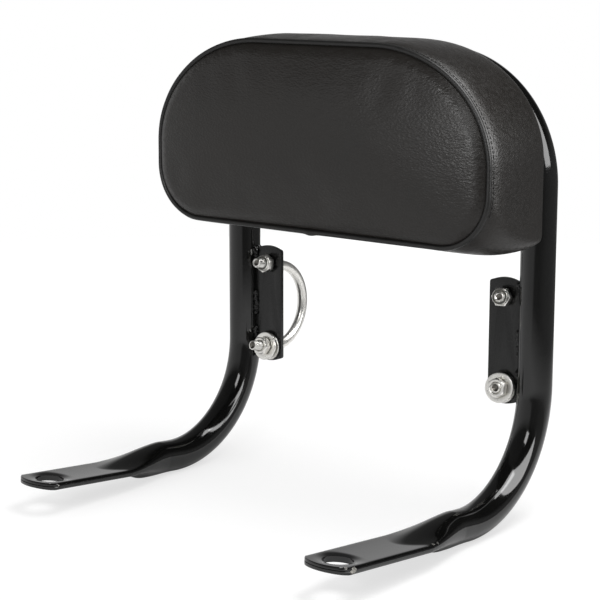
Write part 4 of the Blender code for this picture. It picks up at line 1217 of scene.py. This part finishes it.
def coverShape():
    # points, faces, and the numbers of the points that the seam, the back edge and the hem hold
    count = pad["seamPoints"]
    corner = pad["frontCornerRadius"]
    seamInset = pad["pipingRadius"]
    seamLine = padOutline(seamInset, corner, count)
    inner = [padOutline(seamInset + depth, corner, count) for depth in pad["seamRows"]]
    flat, faces = frontPanel([seamLine, *inner])
    fineLine = padOutline(seamInset, corner, 1600)
    depth = np.array([np.linalg.norm(fineLine - point, axis=1).min() for point in flat])
    rise = pad["crown"] * (1 - np.exp(-softDistance(flat, seamLine) / pad["crownReach"]))
    rise = rise * ease(depth / 9) + pad["edgeRoll"] * (1 - np.exp(-depth / pad["rollReach"]))
    rise[:count] = 0
    seamY = pad["seam"] + pad["behindWelt"]
    points = [(x, seamY - lift, z) for (x, z), lift in zip(flat, rise)]
    faces = [f if faceTurn(flat, f) > 0 else f[::-1] for f in faces]
    backY = pad["hemBack"] - pad["backEdgeRadius"]
    rows = []
    for i in range(1, pad["bandRows"] + 1):
        share = i / pad["bandRows"]
        swell = pad["bandSwell"] * sin(pi * share) ** 0.7 if share < 1 else 0
        tuck = (pad["bandTuck"] - pad["bandInset"]) * np.exp(-share * 30)
        squarer = share ** 0.5
        radius = corner * (1 - squarer) + pad["backCornerRadius"] * squarer
        sag = pad["bottomSag"] * 4 * share * (1 - share)
        line = padOutline(pad["bandInset"] + tuck - swell, radius, count, sag)
        rows.append([(x, seamY + (backY - seamY) * share, z) for x, z in line])
    for angle in np.linspace(0, pi / 2, 5)[1:]:
        line = padOutline(pad["bandInset"] + pad["backEdgeRadius"] * (1 - cos(angle)),
                          pad["backCornerRadius"], count)
        rows.append([(x, backY + pad["backEdgeRadius"] * sin(angle), z) for x, z in line])
    for share in (0.33, 0.66, 1.0):
        line = padOutline(pad["bandInset"] + pad["backEdgeRadius"] + pad["hemWidth"] * share,
                          pad["backCornerRadius"], count)
        rows.append([(x, pad["hemBack"], z) for x, z in line])
    start = len(points)
    for row in rows:
        points += row
    for j in range(count):
        k = (j + 1) % count
        faces.append((j, k, start + k, start + j))
    faces += gridFaces(len(rows), count, start=start)
    held = list(range(count))
    held += list(range(start + pad["bandRows"] * count, start + len(rows) * count))
    return points, faces, held


def inflate(cover, held):
    # the cover is blown up against its seam and its hem, as the foam pushes it out
    start = np.array([v.co for v in cover.data.vertices])
    group = cover.vertex_groups.new(name="held")
    group.add(held, 1.0, "REPLACE")
    cloth = cover.modifiers.new("Cover", "CLOTH")
    settings = cloth.settings
    for name, value in pad["cloth"].items():
        setattr(settings, name, value)
    settings.use_pressure = True
    settings.uniform_pressure_force = pad["pressure"]
    settings.shrink_min = -pad["looseness"]
    settings.shrink_max = -pad["looseness"]
    settings.vertex_group_mass = "held"
    settings.effector_weights.gravity = 0
    scene = bpy.context.scene
    for number in range(1, pad["clothFrames"] + 1):
        scene.frame_set(number)
    graph = bpy.context.evaluated_depsgraph_get()
    moved = bpy.data.meshes.new_from_object(cover.evaluated_get(graph))
    ends = np.array([v.co for v in moved.vertices])
    cover.modifiers.clear()
    cover.vertex_groups.clear()
    scene.frame_set(1)
    step = ends - start
    # a taut cover keeps only its broad swell and the last of its small creases
    edges = np.array([edge.vertices for edge in cover.data.edges])
    neighbours = np.bincount(edges.ravel(), minlength=len(start))[:, None]
    for _ in range(pad["calming"]):
        around = np.zeros_like(step)
        np.add.at(around, edges[:, 0], step[edges[:, 1]])
        np.add.at(around, edges[:, 1], step[edges[:, 0]])
        step = (step + around / neighbours) / 2
        step[held] = 0
    size = np.linalg.norm(step, axis=1)
    cap = pad["moveCap"] * mm
    step *= np.minimum(1, cap / np.maximum(size, 1e-9))[:, None]
    cover.data.vertices.foreach_set("co", (start + step).astype(np.float32).ravel())
    print("cover blown up by", round(float(size.max()) / mm, 1), "mm at most")


def buildCover():
    points, faces, held = coverShape()
    mesh = meshFrom("pad_cover", toRow(points), faces)
    turnOutwards(mesh)
    cover = looseObject("pad_cover", mesh)
    inflate(cover, held)
    shell = cover.modifiers.new("Cover thickness", "SOLIDIFY")
    shell.thickness = pad["coverThickness"] * mm
    shell.offset = -1
    finer = cover.modifiers.new("Finer", "SUBSURF")
    finer.levels = 1
    finer.render_levels = 1
    bakeModifiers(cover, 80)
    cover = addPiece("pad_cover", takeMesh(cover), leatherette,
                     ["pad_front_panel", "pad_side_band", "pad_foam"])
    return cover


def sweepMesh(name, path, radii, count=16):
    # a closed welt along a closed path
    path = np.asarray(path, float)
    tangents = np.roll(path, -1, 0) - np.roll(path, 1, 0)
    tangents /= np.linalg.norm(tangents, axis=1)[:, None]
    front = np.array((0, -1.0, 0))
    angles = roundAbout(count)
    points = []
    for centre, tangent, radius in zip(path, tangents, radii):
        side = np.cross(tangent, front)
        points += list(centre + radius * (np.outer(np.cos(angles), side)
                                          + np.outer(np.sin(angles), front)))
    rows = len(path)
    faces = []
    for i in range(rows):
        for j in range(count):
            k = (j + 1) % count
            a, b = i * count, (i + 1) % rows * count
            faces.append((a + j, b + j, b + k, a + k))
    mesh = meshFrom(name, points, faces)
    turnOutwards(mesh)
    return mesh


def buildPiping():
    line = padOutline(pad["pipingRadius"] + pad["weltSink"], pad["frontCornerRadius"], 560)
    bottom = line[:, 1].min() + 2
    path, radii = [], []
    for x, z in line:
        # thicker where the welt's ends overlap
        sway = pad["weltSway"] * noise((x / pad["swayLength"], z / pad["swayLength"], 0.4))
        join = np.exp(-((x - pad["joinX"]) / pad["joinLength"]) ** 2) if z < bottom else 0
        path.append((x, pad["seam"] + 0.2 + sway, z - 0.5 * join))
        radii.append(pad["weltRadius"] * (1 + pad["joinSwell"] * join))
    mesh = sweepMesh("pad_piping_welt", path, radii)
    settle(mesh, Matrix.Identity(3), (0, 0, 0))
    return addPiece("pad_piping_welt", mesh, seamShadedPipingVinyl, ["pad_piping"])


def rowTree():
    # short rounded bars along a line: stitches, or the crowns of staples
    tree, given = newTree("Row of bars", {
        "Pitch": "Float", "Bar": "Float", "Thickness": "Float", "Unevenness": "Float",
        "Seed": "Int", "Finish": "Material"})
    points = pointsAlong(tree, given["Geometry"], given["Pitch"])
    ball = addNode(tree, "GeometryNodeMeshUVSphere", {"Segments": 8, "Rings": 6, "Radius": 0.5})
    size = addNode(tree, "ShaderNodeCombineXYZ",
                   {"X": given["Thickness"], "Y": given["Thickness"], "Z": given["Bar"]})
    bar = addNode(tree, "GeometryNodeTransform",
                  {"Geometry": ball.outputs["Mesh"], "Scale": size.outputs["Vector"]})
    uneven = given["Unevenness"]
    lean = addNode(tree, "FunctionNodeRandomValue",
                   {2: reckon(tree, "MULTIPLY", uneven, -1.0), 3: uneven, "Seed": given["Seed"]},
                   data_type="FLOAT")
    leaning = addNode(tree, "ShaderNodeCombineXYZ",
                      {"X": lean.outputs[1], "Y": lean.outputs[1], "Z": 0.0})
    turned = addNode(tree, "FunctionNodeRotateRotation",
                     {"Rotation": points["Rotation"],
                      "Rotate By": leaning.outputs["Vector"]}, rotation_space="LOCAL")
    placed = addNode(tree, "GeometryNodeInstanceOnPoints",
                     {"Points": points["Points"], "Instance": bar.outputs["Geometry"],
                      "Rotation": turned.outputs["Rotation"]})
    smooth = addNode(tree, "GeometryNodeSetShadeSmooth", {"Geometry": placed.outputs["Instances"]})
    endTree(tree, smooth.outputs["Geometry"], given["Finish"])
    return tree


barRows = {
    # along the band, just behind the welt
    "stitches": {"pitch": 3.4, "bar": 2.7, "thickness": 0.75, "unevenness": 0.10, "behindSeam": 4.1},
    # along the edge of the lining, through the hem into the board
    "staples": {"pitch": 27.0, "bar": 11.0, "thickness": 1.1, "unevenness": 0.16, "inset": 15.5},
}


def buildRow(name, line, values, finish):
    # line of points in metres, closed
    count = len(line)
    mesh = bpy.data.meshes.new(name)
    mesh.from_pydata([tuple(p) for p in line], [(i, (i + 1) % count) for i in range(count)], [])
    row = runTree(name, mesh, barTree, {
        "Pitch": values["pitch"] * mm, "Bar": values["bar"] * mm,
        "Thickness": values["thickness"] * mm, "Unevenness": values["unevenness"],
        "Seed": 4, "Finish": finish})
    return addPiece(name, finishMesh(row, 60), finish)


def buildStitches(cover):
    # the stitches lie on the cover as it is blown up
    tree = BVHTree.FromPolygons([v.co for v in cover.data.vertices],
                                [tuple(f.vertices) for f in cover.data.polygons])
    values = barRows["stitches"]
    line = padOutline(pad["bandInset"], pad["frontCornerRadius"], 500)
    near = toRow([(x, pad["seam"] + values["behindSeam"], z) for x, z in line])
    found = [tree.find_nearest(Vector(p)) for p in near]
    sunk = [place + normal * 0.1 * mm for place, normal, _, _ in found]
    buildRow("pad_band_stitches", sunk, values, thread)


def buildStaples():
    values = barRows["staples"]
    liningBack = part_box("pad_back_lining")[1].y
    line = toRow([(x, 0, z) for x, z in padOutline(values["inset"], 12.0, 400)])
    line[:, 1] = liningBack + 0.1 * mm
    buildRow("pad_lining_staples", line, values, zinc)


barTree = rowTree()
padCover = buildCover()
buildPiping()
buildStitches(padCover)
buildStaples()
print("pad cover, piping, stitches and staples")


# CAD nodes that stay get the finish of the real piece

finishOfNode = {
    "pad_board": plywood,
    "pad_back_lining": lining,
}
for name, node in nodes.items():
    if name in finishOfNode:
        finish = finishOfNode[name]
    elif name.endswith("_pad_tab"):
        finish = plateEnamel
    elif name.endswith(("_bolt", "_washer", "_nut")):
        finish = zinc
    else:
        continue
    for slot in node.material_slots:
        slot.material = finish
print("finishes on the rest of the model")


# Studio

studio = {
    "floorRadius": 1.3,
    "floorWhite": 0.60,         # share of plain white in what the floor shows near the object
    "floorLift": 1.12,          # makes up for the little that the lit paper lacks of white
    "floorNear": (0.42, 0.75),  # and from here out it turns to plain white
    "worldLight": 0.60,
    "brightSide": (-0.95, -0.31, 0.0),      # where the studio's white walls stand
    "wallTop": (0.20, 0.42),    # sine of the height at which the walls end, softly
    "ceilingTone": 0.18,
    # brightness of what the gloss shows, from the dark side (0) round to the bright one (1)
    "wallTones": ((0.0, 0.30), (0.20, 0.17), (0.47, 0.17), (0.56, 0.60), (0.80, 0.68), (1.0, 0.85)),
    # softboxes: place, aim, width, height (m), power (W), and what they light: all, only the
    # gloss, or only the pad, where a flag keeps them off the steel
    "softboxes": {
        "overhead": ((0.35, 0.15, 1.25), (0.05, 0.0, 0.15), 0.8, 0.5, 9, "all"),
        "byTheCamera": ((0.62, -1.25, 1.00), (0.0, 0.0, 0.15), 0.45, 0.45, 5, "all"),
        "frontLeft": ((-0.03, -1.40, 0.52), (0.05, -0.08, 0.18), 0.38, 0.42, 7, "pad"),
        "rightStrip": ((1.06, 0.09, 1.17), (0.01, -0.01, 0.37), 0.95, 1.8, 41, "gloss"),
        "rightFill": ((1.21, 0.28, 0.52), (0.05, -0.05, 0.18), 0.7, 0.5, 8, "pad"),
    },
}


def anyOf(tree, path, names):
    total = path.outputs[names[0]]
    for name in names[1:]:
        total = reckon(tree, "MAXIMUM", total, path.outputs[name])
    return total


def wallTone(tree, direction):
    # what the gloss shows in this direction
    towards = addNode(tree, "ShaderNodeVectorMath",
                      {0: direction, 1: Vector(studio["brightSide"]).normalized()},
                      operation="DOT_PRODUCT")
    share = ramp(tree, towards.outputs["Value"], -1.0, 1.0, 0.0, 1.0)
    tones = addNode(tree, "ShaderNodeValToRGB", {"Fac": share})
    height = addNode(tree, "ShaderNodeSeparateXYZ", {"Vector": direction}).outputs["Z"]
    low, high = studio["wallTop"]
    fading = ramp(tree, height, low, high, 1.0, studio["ceilingTone"])
    band = tones.color_ramp
    for number, (place, tone) in enumerate(studio["wallTones"]):
        stop = band.elements[number] if number < 2 else band.elements.new(place)
        stop.position = place
        stop.color = (tone, tone, tone, 1)
    return reckon(tree, "MULTIPLY", tones.outputs["Color"], fading)


def buildFloor():
    mesh = bpy.data.meshes.new("floor")
    bm = bmesh.new()
    bmesh.ops.create_circle(bm, cap_ends=True, segments=96, radius=studio["floorRadius"])
    bm.to_mesh(mesh)
    bm.free()
    floor = looseObject("floor", mesh)
    floor.location.z = cadLow.z - 0.0002
    paper = bpy.data.materials.new("whiteSweepPaper")
    paper.use_nodes = True
    tree = paper.node_tree
    tree.nodes.clear()
    path = addNode(tree, "ShaderNodeLightPath")
    place = addNode(tree, "ShaderNodeTexCoord").outputs["Object"]
    distance = addNode(tree, "ShaderNodeVectorMath", {0: place}, operation="LENGTH")
    near, far = studio["floorNear"]
    whiter = ramp(tree, distance.outputs["Value"], near, far, studio["floorWhite"], 1.0)
    away = ramp(tree, distance.outputs["Value"], near, far, 0.0, 1.0)
    # the camera sees plain white with the shadow in it; gloss sees the lit paper near the
    # object, and past it the studio's dark and bright sides
    glossy = anyOf(tree, path, ["Is Glossy Ray", "Is Transmission Ray"])
    camera = path.outputs["Is Camera Ray"]
    forCamera = reckon(tree, "MULTIPLY", camera, whiter)
    share = reckon(tree, "MULTIPLY_ADD", glossy, away, forCamera)
    direction = addNode(tree, "ShaderNodeVectorMath", {0: place}, operation="NORMALIZE")
    lift = studio["floorLift"]
    shown = mixColours(tree, camera, wallTone(tree, direction.outputs["Vector"]),
                       (lift, lift, lift, 1))
    lit = addNode(tree, "ShaderNodeBsdfDiffuse", {"Color": (0.9, 0.9, 0.9, 1)}).outputs[0]
    white = addNode(tree, "ShaderNodeEmission", {"Color": shown}).outputs[0]
    mixed = addNode(tree, "ShaderNodeMixShader", {0: share, 1: lit, 2: white})
    addNode(tree, "ShaderNodeOutputMaterial", {"Surface": mixed.outputs[0]})
    mesh.materials.append(paper)


def buildWorld():
    world = bpy.data.worlds.new("studio")
    world.use_nodes = True
    bpy.context.scene.world = world
    tree = world.node_tree
    tree.nodes.clear()
    path = addNode(tree, "ShaderNodeLightPath")
    direction = addNode(tree, "ShaderNodeTexCoord").outputs["Generated"]
    glossy = anyOf(tree, path, ["Is Glossy Ray", "Is Transmission Ray"])
    seen = addNode(tree, "ShaderNodeMix",
                   {"Factor": glossy, "A": studio["worldLight"], "B": wallTone(tree, direction)})
    strength = addNode(tree, "ShaderNodeMix",
                       {"Factor": path.outputs["Is Camera Ray"],
                        "A": seen.outputs["Result"], "B": 1.0})
    light = addNode(tree, "ShaderNodeBackground", {"Color": (1, 1, 1, 1),
                                                   "Strength": strength.outputs["Result"]})
    addNode(tree, "ShaderNodeOutputWorld", {"Surface": light.outputs[0]})


def buildSoftboxes():
    padPieces = bpy.data.collections.new("padPieces")
    for name in ("pad_cover", "pad_piping_welt"):
        padPieces.objects.link(bpy.data.objects[name])
    for name, (place, aim, width, height, power, lights) in studio["softboxes"].items():
        light = bpy.data.lights.new(name, "AREA")
        light.shape = "RECTANGLE"
        light.size = width
        light.size_y = height
        light.energy = power
        lamp = looseObject(name, light)
        lamp.location = place
        lamp.visible_diffuse = lights != "gloss"
        if lights == "pad":
            lamp.light_linking.receiver_collection = padPieces
        lamp.rotation_euler = (Vector(aim) - Vector(place)).to_track_quat("-Z", "Y").to_euler()


camera = {
    "place": (810.3, -1091.0, 306.9),       # in the legs' frame
    "azimuth": 39.26,
    "elevation": 10.88,
    "roll": -0.075,
    "lens": 108.0,
    "sensor": 36.0,
}


def buildCamera():
    data = bpy.data.cameras.new("camera")
    data.lens = camera["lens"]
    data.sensor_width = camera["sensor"]
    view = looseObject("camera", data)
    view.location = Vector(toRow(camera["place"]))
    view.rotation_euler = (pi / 2 - radians(camera["elevation"]), radians(camera["roll"]),
                           radians(camera["azimuth"]))
    bpy.context.scene.camera = view


buildFloor()
buildWorld()
buildSoftboxes()
buildCamera()
bpy.context.scene.view_settings.view_transform = "Standard"
